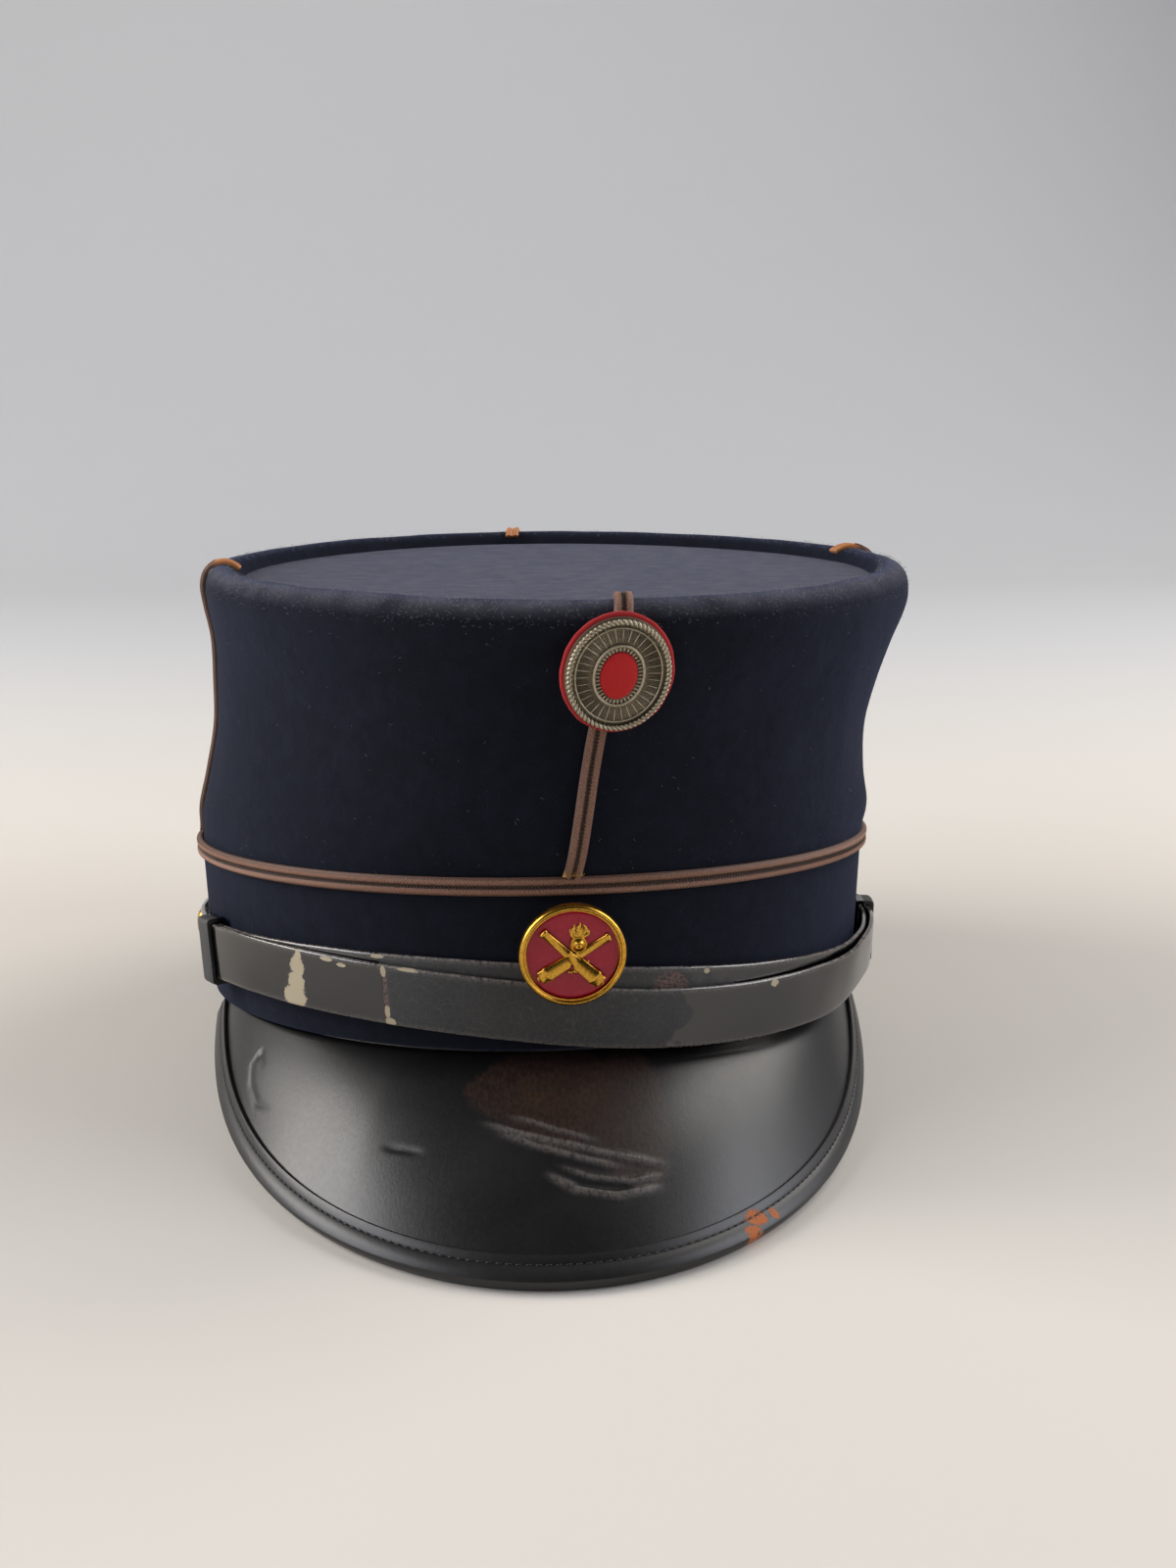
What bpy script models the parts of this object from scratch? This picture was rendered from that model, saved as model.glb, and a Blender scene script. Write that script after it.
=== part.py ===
"""Kepi cap: a soft cloth crown on a stiff band, with braid, cockade, badge, chin strap and leather peak.

The cap stands as it rests on a table: the back of the band and the front of the peak touch the surface,
so the band is tipped back a little while the top stays nearly level. The peak points along -Y, +Z is up.
Sizes are in millimetres and are turned to metres when a mesh is made.
An angle is measured round the cap from the middle of the peak, 0, towards +X, 90, and the back, 180.
"""
from dataclasses import dataclass
from math import copysign, cos, degrees, pi, radians, sin

import bmesh
import bpy
from mathutils import Matrix, Vector

MM = 0.001
GAP = 0.3                     # clearance that touching pieces keep
ROUND_STEPS = 60              # facets round the cap

# Band
BAND_HALF_WIDTH = 84.3        # outside, at the braid line
BAND_HALF_LENGTH = 92.5
BAND_TAPER_SIDE = 1.5         # how much narrower the bottom edge is on each side
BAND_TAPER_FRONT = 1.0
BAND_HEIGHT = 37.5            # along the middle of the side
BAND_BACK_DROP = 2.0          # how much taller the band is at the back than at the front
BAND_WALL = 2.4
BAND_TILT = 8.7               # degrees, front up
BAND_SHIFT = 2.4              # how far the bottom edge sits forward of the braid line
REST_FLAT = 0.75              # how much the cloth at the back edge is pressed flat

# Crown
CROWN_HEIGHT = 70.5           # braid line to rim crest, in the middle
CROWN_SHIFT = 7.0             # the top sits this far towards +X
CROWN_WALL = 2.0
RIM_TILT = 1.2                # degrees left at the top
CORNER_SWELL = 1.0            # the rim is a little four-cornered
CORNER_ANGLE = 6.0
DENT_DEPTH = 1.7
TOP_WALL = 2.0
TOP_SAG = 1.2                 # the flat top dips this much in its middle
ROLL_WIDTH = 9.0              # rolled edge round the top
ROLL_DROP = 3.6               # the top lies this far below the rolled edge

# Braid
BRAID_WIDTH = 3.9
BRAID_THICKNESS = 1.2
BRAID_GROOVE = 0.45

# Cockade
COCKADE_ANGLE = 4.4
COCKADE_BELOW_RIM = 13.4      # centre to rim crest, down the wall
COCKADE_LEAN = 9.0            # degrees, top towards +X
FELT_HALF_WIDTH = 11.4
FELT_HALF_HEIGHT = 12.5
FELT_THICKNESS = 1.0
DISC_MARGIN = 0.8             # red felt left showing round the wire disc
DISC_THICKNESS = 1.0
CORD_RADIUS = 0.75
INNER_CORD_HALF_WIDTH = 4.5
INNER_CORD_HALF_HEIGHT = 5.7
DOME_HEIGHT = 1.6

# Badge
BADGE_ANGLE = 2.7
BADGE_BELOW_BRAID = 13.8
BADGE_RADIUS = 11.1
BADGE_LEAN = 5.0              # degrees, bottom edge forward, over the strap
BADGE_STAND = 3.1             # back plate to band
BADGE_PLATE = 0.9
BADGE_DEPTH = 2.5             # back plate to rim crest
BADGE_RIM = 1.4
BADGE_POST_RADIUS = 1.4
FIELD_THICKNESS = 0.7
EMBLEM_THICKNESS = 1.0
EMBLEM_STEP = 0.12            # how far the feet of its shapes lie over each other

# Chin strap
STRAP_WIDTH = 13.0
STRAP_THICKNESS = 1.1
STRAP_STAND = 0.45            # inner strap to band
STRAP_END_REACH = 6.0         # strap past the button's centre
KEEPER_LEFT_ANGLE = -62.5
KEEPER_RIGHT_ANGLE = 83.0
KEEPER_WIDTH = 7.0
KEEPER_THICKNESS = 1.0
BUTTON_LEFT_ANGLE = -88.0
BUTTON_RIGHT_ANGLE = 96.0
BUTTON_RADIUS = 4.7
BUTTON_DOME = 2.2
BUTTON_PLATE = 0.6
SHANK_RADIUS = 1.3

# Peak
PEAK_SIDE_INSET = 6.5         # the peak is this much narrower than the band on each side
PEAK_DEPTH = 43.3             # peak's front edge ahead of the band
PEAK_SIDE_Y = -22.0           # where the peak's edge comes back to the band
PEAK_ROUNDNESS = 2.02         # exponent of its outline
PEAK_FAN = 1.35               # how the lines from root to edge fan out towards the sides
PEAK_WALL = 2.2
PEAK_ARCH = 3.2               # crown of the peak across its slope
PEAK_TUCK = 3.0               # root under the band's wall
PEAK_END_ANGLE = 76.0         # where the outlines of edge and root meet
PEAK_CUT_ANGLE = 70.0         # where the leather is cut off, just before they meet
BINDING_CUT_ANGLE = 68.5
BINDING_WIDTH = 4.6
BINDING_THICKNESS = 1.0

# Rings of the crown's wall. Rise is a share of CROWN_HEIGHT, width and length are shares of the band's
# half sizes, lean a share of CROWN_SHIFT, level the share of the tilt between band and rim.
CROWN_ROWS = (
    # rise, width, length, lean, level
    (0.000, 1.000, 1.000, 0.00, 0.00),
    (0.050, 1.000, 1.001, 0.05, 0.05),
    (0.130, 1.003, 1.010, 0.13, 0.13),
    (0.260, 0.986, 1.002, 0.26, 0.26),
    (0.430, 0.970, 0.988, 0.43, 0.44),
    (0.590, 0.975, 0.990, 0.60, 0.62),
    (0.740, 0.993, 0.998, 0.86, 0.78),
    (0.860, 1.018, 1.006, 1.00, 0.92),
    (0.925, 1.022, 1.009, 1.00, 1.00),
)
# Rolled edge, from the wall's outer face over the crest to the flat top: shares of ROLL_WIDTH and ROLL_DROP.
ROLL_ROWS = (
    # inset, drop
    (0.09, 0.60),
    (0.30, 0.12),
    (0.56, 0.00),
    (0.82, 0.30),
    (1.00, 0.94),
)
# Underside of the rolled edge, from the flat top back to the wall's inner face, in the same shares.
UNDER_ROWS = (
    # inset, drop
    (1.00, 1.50),
    (0.76, 0.92),
    (0.55, 0.62),
    (0.37, 0.88),
)
# Dents and folds of the crown's cloth: depth is a share of DENT_DEPTH, the spans are half-widths.
DENTS = (
    # angle, rise, depth, angle_span, rise_span
    (-42.0, 0.52, 0.9, 26.0, 0.24),
    (34.0, 0.60, 0.7, 20.0, 0.22),
    (72.0, 0.34, 0.8, 24.0, 0.20),
    (118.0, 0.58, 1.0, 26.0, 0.26),
    (160.0, 0.42, 0.8, 20.0, 0.22),
    (-150.0, 0.60, 1.0, 28.0, 0.24),
    (-104.0, 0.44, 0.7, 22.0, 0.20),
    (92.0, 0.78, -0.6, 16.0, 0.14),
    (-14.0, 0.20, -0.5, 20.0, 0.12),
)
# Braid lines up the crown: the foot's angle at the band and the angle where it crosses the rim.
BRAID_LINES = (
    # name, foot, rim
    ("front_braid", 2.8, 5.8),
    ("right_braid", 94.0, 106.0),
    ("back_braid", 182.0, 187.0),
    ("left_braid", 273.0, 276.0),
)
# Courses of the two straps round the front of the band: the height of the strap's middle above the braid
# line is a share of BAND_HEIGHT, the bulge a share of STRAP_THICKNESS beyond lying close.
INNER_STRAP = (
    # angle, height, bulge
    (-94.0, -0.63, 0.00),
    (-88.0, -0.62, 0.00),
    (-83.0, -0.61, 0.02),
    (-74.0, -0.60, 0.60),
    (-63.0, -0.59, 1.15),
    (-54.0, -0.59, 0.70),
    (-33.0, -0.59, 0.05),
    (-12.0, -0.61, 0.00),
    (12.0, -0.68, 0.00),
    (36.0, -0.76, 0.10),
    (52.0, -0.79, 0.45),
    (63.0, -0.77, 0.85),
    (72.0, -0.75, 1.05),
    (81.0, -0.745, 1.15),
    (89.0, -0.73, 1.15),
)
OUTER_STRAP = (
    # angle, height, bulge
    (-69.0, -0.59, 2.55),
    (-63.0, -0.59, 2.50),
    (-54.0, -0.58, 2.10),
    (-33.0, -0.62, 1.45),
    (-12.0, -0.69, 1.36),
    (12.0, -0.80, 1.36),
    (28.0, -0.84, 1.55),
    (42.0, -0.845, 1.95),
    (54.0, -0.83, 2.30),
    (63.0, -0.775, 2.45),
    (73.0, -0.735, 2.80),
    (81.0, -0.735, 2.52),
    (87.9, -0.715, 2.47),
    (91.6, -0.70, 0.12),
    (96.0, -0.68, 0.05),
    (100.0, -0.66, 0.05),
)
# Twist of both straps where they climb round the right side.
STRAP_TWIST = (
    # angle, degrees with the upper edge outwards
    (-94.0, 0.0),
    (44.0, 0.0),
    (56.0, 6.0),
    (66.0, 6.0),
    (76.0, 0.0),
    (100.0, 0.0),
)


@dataclass(frozen=True)
class Ring:
    """One level outline of the wall, tipped about the X axis."""
    centre: Vector
    half_width: float
    half_length: float
    tilt: float
    rise: float = 0.0

    def point(self, angle, out=0.0):
        """Point at an angle, moved outwards by out."""
        turn = radians(angle)
        swell = CORNER_SWELL * self.rise ** 2 * cos(4 * radians(angle - CORNER_ANGLE))
        push = out + swell - dent_depth(angle, self.rise)
        across = (self.half_width + push) * sin(turn)
        along = -(self.half_length + push) * cos(turn)
        tip = radians(self.tilt)
        return self.centre + Vector((across, along * cos(tip), -along * sin(tip)))


def dent_depth(angle, rise):
    """Depth of the crown's dents at a place; the band and the rim have none."""
    if not 0.0 < rise < 0.95:
        return 0.0
    depth = 0.0
    for at, height, share, angle_span, rise_span in DENTS:
        turn = ((angle - at + 180.0) % 360.0 - 180.0) / angle_span
        climb = (rise - height) / rise_span
        if abs(turn) < 1.0 and abs(climb) < 1.0:
            depth += share * DENT_DEPTH * (cos(pi * turn / 2) * cos(pi * climb / 2)) ** 2
    return depth


def wall_rings():
    """Rings from the band's bottom edge, through the braid line, to the top of the crown's wall."""
    band_tip = radians(BAND_TILT)
    back_tip = BAND_BACK_DROP / (2 * BAND_HALF_LENGTH)
    bottom_tilt = BAND_TILT + degrees(back_tip)
    bottom_length = BAND_HALF_LENGTH - BAND_TAPER_FRONT
    bottom_rise = bottom_length * sin(radians(bottom_tilt)) - REST_FLAT
    braid_z = bottom_rise + BAND_HEIGHT * cos(band_tip)
    rings = [Ring(Vector((0.0, -BAND_SHIFT, bottom_rise)), BAND_HALF_WIDTH - BAND_TAPER_SIDE,
                  bottom_length, bottom_tilt)]
    for rise, width, length, lean, level in CROWN_ROWS:
        centre = Vector((CROWN_SHIFT * lean, 0.0, braid_z + CROWN_HEIGHT * rise))
        tilt = BAND_TILT + (RIM_TILT - BAND_TILT) * level
        rings.append(Ring(centre, BAND_HALF_WIDTH * width, BAND_HALF_LENGTH * length, tilt, rise))
    return rings


RINGS = wall_rings()
CREST_Z = RINGS[1].centre.z + CROWN_HEIGHT


def roll_point(angle, inset, drop):
    """Point of the rolled edge at an angle, from its shares of inset and drop."""
    top = RINGS[-1]
    lift = Vector((0.0, 0.0, CREST_Z - top.centre.z - drop * ROLL_DROP))
    return top.point(angle, -inset * ROLL_WIDTH) + lift


def outer_point(angle, row):
    """Point of the outer face: row 0 to 1 is the band, then the crown's rings and the rolled edge."""
    def station(index):
        if index < len(RINGS):
            return RINGS[index].point(angle)
        return roll_point(angle, *ROLL_ROWS[index - len(RINGS)])

    last = len(RINGS) + len(ROLL_ROWS) - 1
    low = min(int(row), last - 1)
    return station(low).lerp(station(low + 1), row - low)


def wall_frame(angle, row, out=0.0):
    """Place on the outer face: point, direction round the cap, direction up the wall, outward normal."""
    step = 0.02
    across = (outer_point(angle + 1.0, row) - outer_point(angle - 1.0, row)).normalized()
    up = (outer_point(angle, row + step) - outer_point(angle, row - step)).normalized()
    normal = across.cross(up).normalized()
    up = normal.cross(across)
    return outer_point(angle, row) + normal * out, across, up, normal


def band_row(height):
    """Row of a height below the braid line, given as a share of the band's height."""
    return 1.0 + height


def crown_row(angle, climb):
    """Row of the crown's wall at a distance above the braid line, measured up the wall."""
    for index in range(1, len(RINGS) - 1):
        span = (RINGS[index + 1].point(angle) - RINGS[index].point(angle)).length
        if climb <= span:
            return index + climb / span
        climb -= span
    return float(len(RINGS) - 1)


def crest_climb(angle):
    """Distance up the wall from the braid line to the height of the rim's crest."""
    climb = sum((RINGS[index + 1].point(angle) - RINGS[index].point(angle)).length
                for index in range(1, len(RINGS) - 1))
    return climb + CREST_Z - RINGS[-1].centre.z


def angles(steps=ROUND_STEPS):
    """Equal angles once round the cap."""
    return [360.0 * step / steps for step in range(steps)]


def table_value(table, angle, column):
    """Smooth reading of a table whose first column is the angle."""
    if angle <= table[0][0]:
        return table[0][column]
    for index in range(len(table) - 1):
        start, end = table[index], table[index + 1]
        if angle <= end[0]:
            before = table[max(index - 1, 0)]
            after = table[min(index + 2, len(table) - 1)]
            span = end[0] - start[0]
            share = (angle - start[0]) / span
            lead = (end[column] - before[column]) / (end[0] - before[0]) * span
            trail = (after[column] - start[column]) / (after[0] - start[0]) * span
            square, cube = share * share, share ** 3
            return ((2 * cube - 3 * square + 1) * start[column] + (cube - 2 * square + share) * lead
                    + (3 * square - 2 * cube) * end[column] + (cube - square) * trail)
    return table[-1][column]


def make_material(name, colour, roughness, metallic=0.0):
    """Principled material with a plain colour."""
    material = bpy.data.materials.new(name)
    material.use_nodes = True
    shader = material.node_tree.nodes["Principled BSDF"]
    shader.inputs["Base Color"].default_value = (*colour, 1.0)
    shader.inputs["Roughness"].default_value = roughness
    shader.inputs["Metallic"].default_value = metallic
    return material


def add_object(name, bm, material, flat_below=None):
    """Turn a bmesh in millimetres into a closed object with its faces outwards."""
    if flat_below is not None:
        for vertex in bm.verts:
            vertex.co.z = max(vertex.co.z, flat_below)
    bmesh.ops.scale(bm, vec=(MM, MM, MM), verts=bm.verts)
    bmesh.ops.recalc_face_normals(bm, faces=bm.faces)
    if bm.calc_volume(signed=True) < 0:
        bmesh.ops.reverse_faces(bm, faces=bm.faces)
    mesh = bpy.data.meshes.new(name)
    bm.to_mesh(mesh)
    bm.free()
    mesh.shade_smooth()
    mesh.set_sharp_from_angle(angle=radians(40))
    mesh.materials.append(material)
    piece = bpy.data.objects.new(name, mesh)
    bpy.context.scene.collection.objects.link(piece)
    return piece


def loops_mesh(loops, ring=False):
    """Mesh of closed loops joined one to the next, back to the first for a ring, else capped."""
    bm = bmesh.new()
    rows = [[bm.verts.new(point) for point in loop] for loop in loops]
    pairs = list(zip(rows, rows[1:]))
    if ring:
        pairs.append((rows[-1], rows[0]))
    for low, high in pairs:
        for index in range(len(low)):
            after = (index + 1) % len(low)
            bm.faces.new((low[index], low[after], high[after], high[index]))
    if not ring:
        for row in (rows[0], rows[-1]):
            hub = bm.verts.new(sum((vertex.co for vertex in row), Vector()) / len(row))
            for index in range(len(row)):
                bm.faces.new((row[index], row[(index + 1) % len(row)], hub))
    return bm


def swept(frames, section, ring=False):
    """Section points (side, height) carried along frames of (point, side direction, height direction)."""
    loops = [[place + side * across + up * height for across, height in section]
             for place, side, up in frames]
    return loops_mesh(loops, ring)


def turned(centre, side, up, normal, profile, steps):
    """Solid turned about the normal from a profile of (radius, height)."""
    loops = []
    for radius, height in profile:
        loop = []
        for step in range(steps):
            turn = 2 * pi * step / steps
            loop.append(centre + side * radius * cos(turn) + up * radius * sin(turn) + normal * height)
        loops.append(loop)
    return loops_mesh(loops)


def oval_loop(centre, side, up, half_width, half_height, steps):
    """Points round an oval in the plane of side and up."""
    return [centre + side * half_width * cos(2 * pi * step / steps)
            + up * half_height * sin(2 * pi * step / steps) for step in range(steps)]


def build_band(material):
    """Stiff cloth band under the braid line, pressed flat at the back where it rests."""
    top = RINGS[1]
    bottom = RINGS[0]
    shares = (0.0, 0.5, 1.0)
    outer = [[bottom.point(angle).lerp(top.point(angle), share) for angle in angles()] for share in shares]
    inner = [[bottom.point(angle, -BAND_WALL).lerp(top.point(angle, -BAND_WALL), share)
              for angle in angles()] for share in reversed(shares)]
    return add_object("band", loops_mesh(outer + inner, ring=True), material, flat_below=0.0)


def build_crown(cloth, top_cloth):
    """Soft wall with its rolled edge, and the flat top sunk inside it."""
    seam = Vector((0.0, 0.0, GAP))
    outer = [[ring.point(angle) for angle in angles()] for ring in RINGS[1:]]
    outer[0] = [point + seam for point in outer[0]]
    roll = [[roll_point(angle, inset, drop) for angle in angles()] for inset, drop in ROLL_ROWS]
    under = [[roll_point(angle, inset, drop) for angle in angles()] for inset, drop in UNDER_ROWS]
    inner = [[ring.point(angle, -CROWN_WALL) for angle in angles()] for ring in reversed(RINGS[1:])]
    inner[-1] = [point + seam for point in inner[-1]]
    wall = add_object("crown_side", loops_mesh(outer + roll + under + inner, ring=True), cloth)

    lip_inset, lip_drop = ROLL_ROWS[-1]
    edge_inset = lip_inset + GAP / ROLL_WIDTH
    hub = RINGS[-1].centre.copy()
    hub.z = CREST_Z - ROLL_DROP
    loops = []
    shares = (0.34, 0.7, 1.0)
    for down, order in ((TOP_WALL, shares), (0.0, tuple(reversed(shares)))):
        for share in order:
            sag = TOP_SAG * (1 - share ** 2) + down
            loop = []
            for angle in angles():
                rim = roll_point(angle, edge_inset, lip_drop)
                place = hub.lerp(rim, share)
                place.z -= sag
                loop.append(place)
            loops.append(loop)
    top = add_object("crown_top", loops_mesh(loops), top_cloth)
    return wall, top


def braid_section(gap):
    """Flat braid with two lobes and a groove, lying a gap above what carries it."""
    half = BRAID_WIDTH / 2
    return ((-half, gap), (-half * 0.95, gap + BRAID_THICKNESS * 0.65),
            (-half * 0.5, gap + BRAID_THICKNESS), (0.0, gap + BRAID_THICKNESS - BRAID_GROOVE),
            (half * 0.5, gap + BRAID_THICKNESS), (half * 0.95, gap + BRAID_THICKNESS * 0.65), (half, gap))


def build_braids(material):
    """Braid ring on the seam of band and crown, and the four lines up the crown and over its rim."""
    frames = []
    for angle in angles():
        place, _, up, normal = wall_frame(angle, 1.0)
        frames.append((place, up, normal))
    add_object("band_braid", swept(frames, braid_section(GAP * 1.5), ring=True), material)

    end = len(RINGS) + len(ROLL_ROWS) - 2.0
    for name, foot, rim in BRAID_LINES:
        start = crown_row(foot, BRAID_WIDTH / 2 + 2 * GAP)
        rows = [start] + [float(row) for row in range(round(start) + 1, int(end))] + [end]
        frames = []
        for row in rows:
            share = (row - start) / (end - start)
            place, across, _, normal = wall_frame(foot + (rim - foot) * share, row)
            frames.append((place, across, normal))
        add_object(name, swept(frames, braid_section(GAP), ring=False), material)


def build_cockade(felt, wire, cord, red):
    """Oval cockade: felt backing, wire disc, cord ring, inner cord ring and red middle."""
    row = crown_row(COCKADE_ANGLE, crest_climb(COCKADE_ANGLE) - COCKADE_BELOW_RIM)
    place, side, up, normal = wall_frame(COCKADE_ANGLE, row)
    spin = Matrix.Rotation(radians(-COCKADE_LEAN), 3, -normal)
    side, up = spin @ side, spin @ up
    back = place + normal * (GAP + BRAID_THICKNESS + GAP)
    steps = 28

    def oval(height, half_width, half_height):
        return oval_loop(back + normal * height, side, up, half_width, half_height, steps)

    felt_loops = [oval(0.0, FELT_HALF_WIDTH, FELT_HALF_HEIGHT),
                  oval(FELT_THICKNESS, FELT_HALF_WIDTH, FELT_HALF_HEIGHT)]
    add_object("cockade_felt", loops_mesh(felt_loops), felt)

    disc_width = FELT_HALF_WIDTH - DISC_MARGIN
    disc_height = FELT_HALF_HEIGHT - DISC_MARGIN
    disc_base = FELT_THICKNESS + GAP
    disc_top = disc_base + DISC_THICKNESS
    disc_loops = [oval(disc_base, disc_width, disc_height),
                  oval(disc_top - 0.4 * DISC_THICKNESS, disc_width, disc_height),
                  oval(disc_top, disc_width - CORD_RADIUS, disc_height - CORD_RADIUS)]
    add_object("cockade_disc", loops_mesh(disc_loops), wire)

    cord_height = disc_top + GAP + CORD_RADIUS
    for name, half_width, half_height in (
            ("cockade_outer_cord", disc_width - CORD_RADIUS, disc_height - CORD_RADIUS),
            ("cockade_inner_cord", INNER_CORD_HALF_WIDTH, INNER_CORD_HALF_HEIGHT)):
        sides = 6
        loops = []
        for turn in range(sides):
            bend = 2 * pi * turn / sides
            out = CORD_RADIUS * cos(bend)
            loops.append(oval(cord_height + CORD_RADIUS * sin(bend), half_width + out, half_height + out))
        add_object(name, loops_mesh(loops, ring=True), cord)

    dome_width = INNER_CORD_HALF_WIDTH - CORD_RADIUS - GAP
    dome_height = INNER_CORD_HALF_HEIGHT - CORD_RADIUS - GAP
    dome_base = disc_top + GAP
    dome_loops = [oval(dome_base, dome_width, dome_height),
                  oval(dome_base + 0.55 * DOME_HEIGHT, dome_width, dome_height),
                  oval(dome_base + 0.9 * DOME_HEIGHT, 0.65 * dome_width, 0.65 * dome_height)]
    add_object("cockade_centre", loops_mesh(dome_loops), red)


def prism(outline, low, high, shrink=1.0):
    """Closed prism over an outline of points, its top drawn in by shrink about its middle."""
    middle = sum(outline, Vector((0.0, 0.0))) / len(outline)
    bm = bmesh.new()
    base = [bm.verts.new((point.x, point.y, low)) for point in outline]
    top = [bm.verts.new((*(middle + (point - middle) * shrink), high)) for point in outline]
    for index in range(len(base)):
        after = (index + 1) % len(base)
        bm.faces.new((base[index], base[after], top[after], top[index]))
    caps = [bm.faces.new(base), bm.faces.new(top)]
    bm.normal_update()
    bmesh.ops.triangulate(bm, faces=caps)
    return bm


def gun_outline(muzzle, breech, radius):
    """Outline of one gun: a slim barrel that widens past the crossing into a casing."""
    start, end = Vector(muzzle) * radius, Vector(breech) * radius
    along = (end - start).normalized()
    across = Vector((-along.y, along.x))
    length = (end - start).length
    stations = ((0.0, 0.075), (0.06, 0.075), (0.07, 0.055), (0.52, 0.075), (0.60, 0.125), (0.94, 0.125),
                (1.0, 0.09))
    left = [start + along * length * share + across * radius * half for share, half in stations]
    right = [start + along * length * share - across * radius * half for share, half in reversed(stations)]
    return left + right


def build_badge(brass, enamel, gold):
    """Round badge: brass dish on its post, enamel field, and a raised emblem of crossed guns and grenade."""
    row = band_row(-BADGE_BELOW_BRAID / BAND_HEIGHT)
    place, side, up, normal = wall_frame(BADGE_ANGLE, row)
    lean = Matrix.Rotation(radians(-BADGE_LEAN), 3, side)
    post_normal = normal
    up, normal = lean @ up, lean @ normal
    back = place + post_normal * BADGE_STAND
    inner = BADGE_RADIUS - BADGE_RIM
    post_foot = (GAP - BADGE_STAND) / cos(radians(BADGE_LEAN))
    dish = ((BADGE_POST_RADIUS, post_foot + BADGE_POST_RADIUS * sin(radians(BADGE_LEAN))),
            (BADGE_POST_RADIUS, 0.0), (BADGE_RADIUS - 0.4, 0.0), (BADGE_RADIUS, 0.5),
            (BADGE_RADIUS, BADGE_DEPTH - 0.5), (BADGE_RADIUS - BADGE_RIM / 2, BADGE_DEPTH),
            (inner, BADGE_DEPTH - 0.5), (inner, BADGE_PLATE))
    steps = 32
    add_object("badge_rim", turned(back, side, up, normal, dish, steps), brass)

    field_radius = inner - GAP
    field_low = BADGE_PLATE + GAP
    field_high = field_low + FIELD_THICKNESS
    field = ((field_radius, field_low), (field_radius, field_high - 0.15), (0.6 * field_radius, field_high))
    add_object("badge_field", turned(back, side, up, normal, field, steps), enamel)

    to_world = Matrix.Translation(back) @ Matrix((side, up, normal)).transposed().to_4x4()
    low = field_high + GAP
    high = low + EMBLEM_THICKNESS
    reach = field_radius
    flame = [Vector(point) * reach for point in (
        (0.00, 0.36), (0.24, 0.36), (0.27, 0.56), (0.21, 0.52), (0.19, 0.74), (0.14, 0.62), (0.10, 0.86),
        (0.06, 0.62), (0.01, 0.74), (0.01, 0.52), (-0.06, 0.56))]
    ball_centre = Vector((0.12, 0.24)) * reach
    ball = [ball_centre + Vector((cos(turn), sin(turn))) * 0.19 * reach
            for turn in (2 * pi * step / 14 for step in range(14))]
    shapes = (
        ("emblem_gun", prism(gun_outline((0.78, 0.40), (-0.72, -0.50), reach), low, high, 0.93)),
        ("emblem_gun_over", prism(gun_outline((-0.66, 0.55), (0.62, -0.62), reach), low + EMBLEM_STEP,
                                  high + 0.2, 0.93)),
        ("emblem_ball", prism(ball, low + 2 * EMBLEM_STEP, high + 0.4, 0.6)),
        ("emblem_flame", prism(flame, low + 3 * EMBLEM_STEP, high - 0.2, 0.9)),
    )
    emblem = None
    for name, bm in shapes:
        bmesh.ops.transform(bm, matrix=to_world, verts=bm.verts)
        if emblem is None:
            emblem = add_object("badge_emblem", bm, gold)
            continue
        part = add_object(name, bm, gold)
        part.hide_render = True
        part.display_type = "WIRE"
        union = emblem.modifiers.new(name, "BOOLEAN")
        union.operation = "UNION"
        union.object = part


def strap_frame(course, angle, out=0.0):
    """Middle of a strap's inner face at an angle, with its directions."""
    height = table_value(course, angle, 1)
    stand = STRAP_STAND + STRAP_THICKNESS * table_value(course, angle, 2)
    place, side, up, normal = wall_frame(angle, band_row(height), stand)
    twist = radians(table_value(STRAP_TWIST, angle, 1))
    up, normal = up * cos(twist) + normal * sin(twist), normal * cos(twist) - up * sin(twist)
    return place + normal * out, side, up, normal


def strap_angles(first, last):
    """Angles along a strap, close enough to follow the band."""
    count = max(2, round(abs(last - first) / 4.0))
    return [first + (last - first) * step / count for step in range(count + 1)]


def end_angle(angle, reach):
    """Angle that lies a reach further round the side of the band than another."""
    return angle + copysign(degrees(reach / BAND_HALF_LENGTH), angle)


def build_strap(name, course, first, last, button_angle, leather):
    """One strap of the chin strap, a flat strip with a hole for its button's shank."""
    half = STRAP_WIDTH / 2
    edge = 0.25 * STRAP_THICKNESS
    section = ((-half, edge), (-half + edge, 0.0), (half - edge, 0.0), (half, edge),
               (half, STRAP_THICKNESS - edge), (half - edge, STRAP_THICKNESS),
               (-half + edge, STRAP_THICKNESS), (-half, STRAP_THICKNESS - edge))
    frames = []
    for angle in strap_angles(first, last):
        place, _, up, normal = strap_frame(course, angle)
        frames.append((place, up, normal))
    strap = add_object(name, swept(frames, section), leather)

    place, side, up, normal = strap_frame(course, button_angle)
    hole = SHANK_RADIUS + GAP
    reach = 2 * STRAP_THICKNESS
    bore = turned(place, side, up, normal, ((hole, -reach), (hole, reach + STRAP_THICKNESS)), 12)
    cutter = add_object(name + "_bore", bore, leather)
    cutter.hide_render = True
    cutter.display_type = "WIRE"
    cut = strap.modifiers.new("button_hole", "BOOLEAN")
    cut.operation = "DIFFERENCE"
    cut.object = cutter
    return strap


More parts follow.
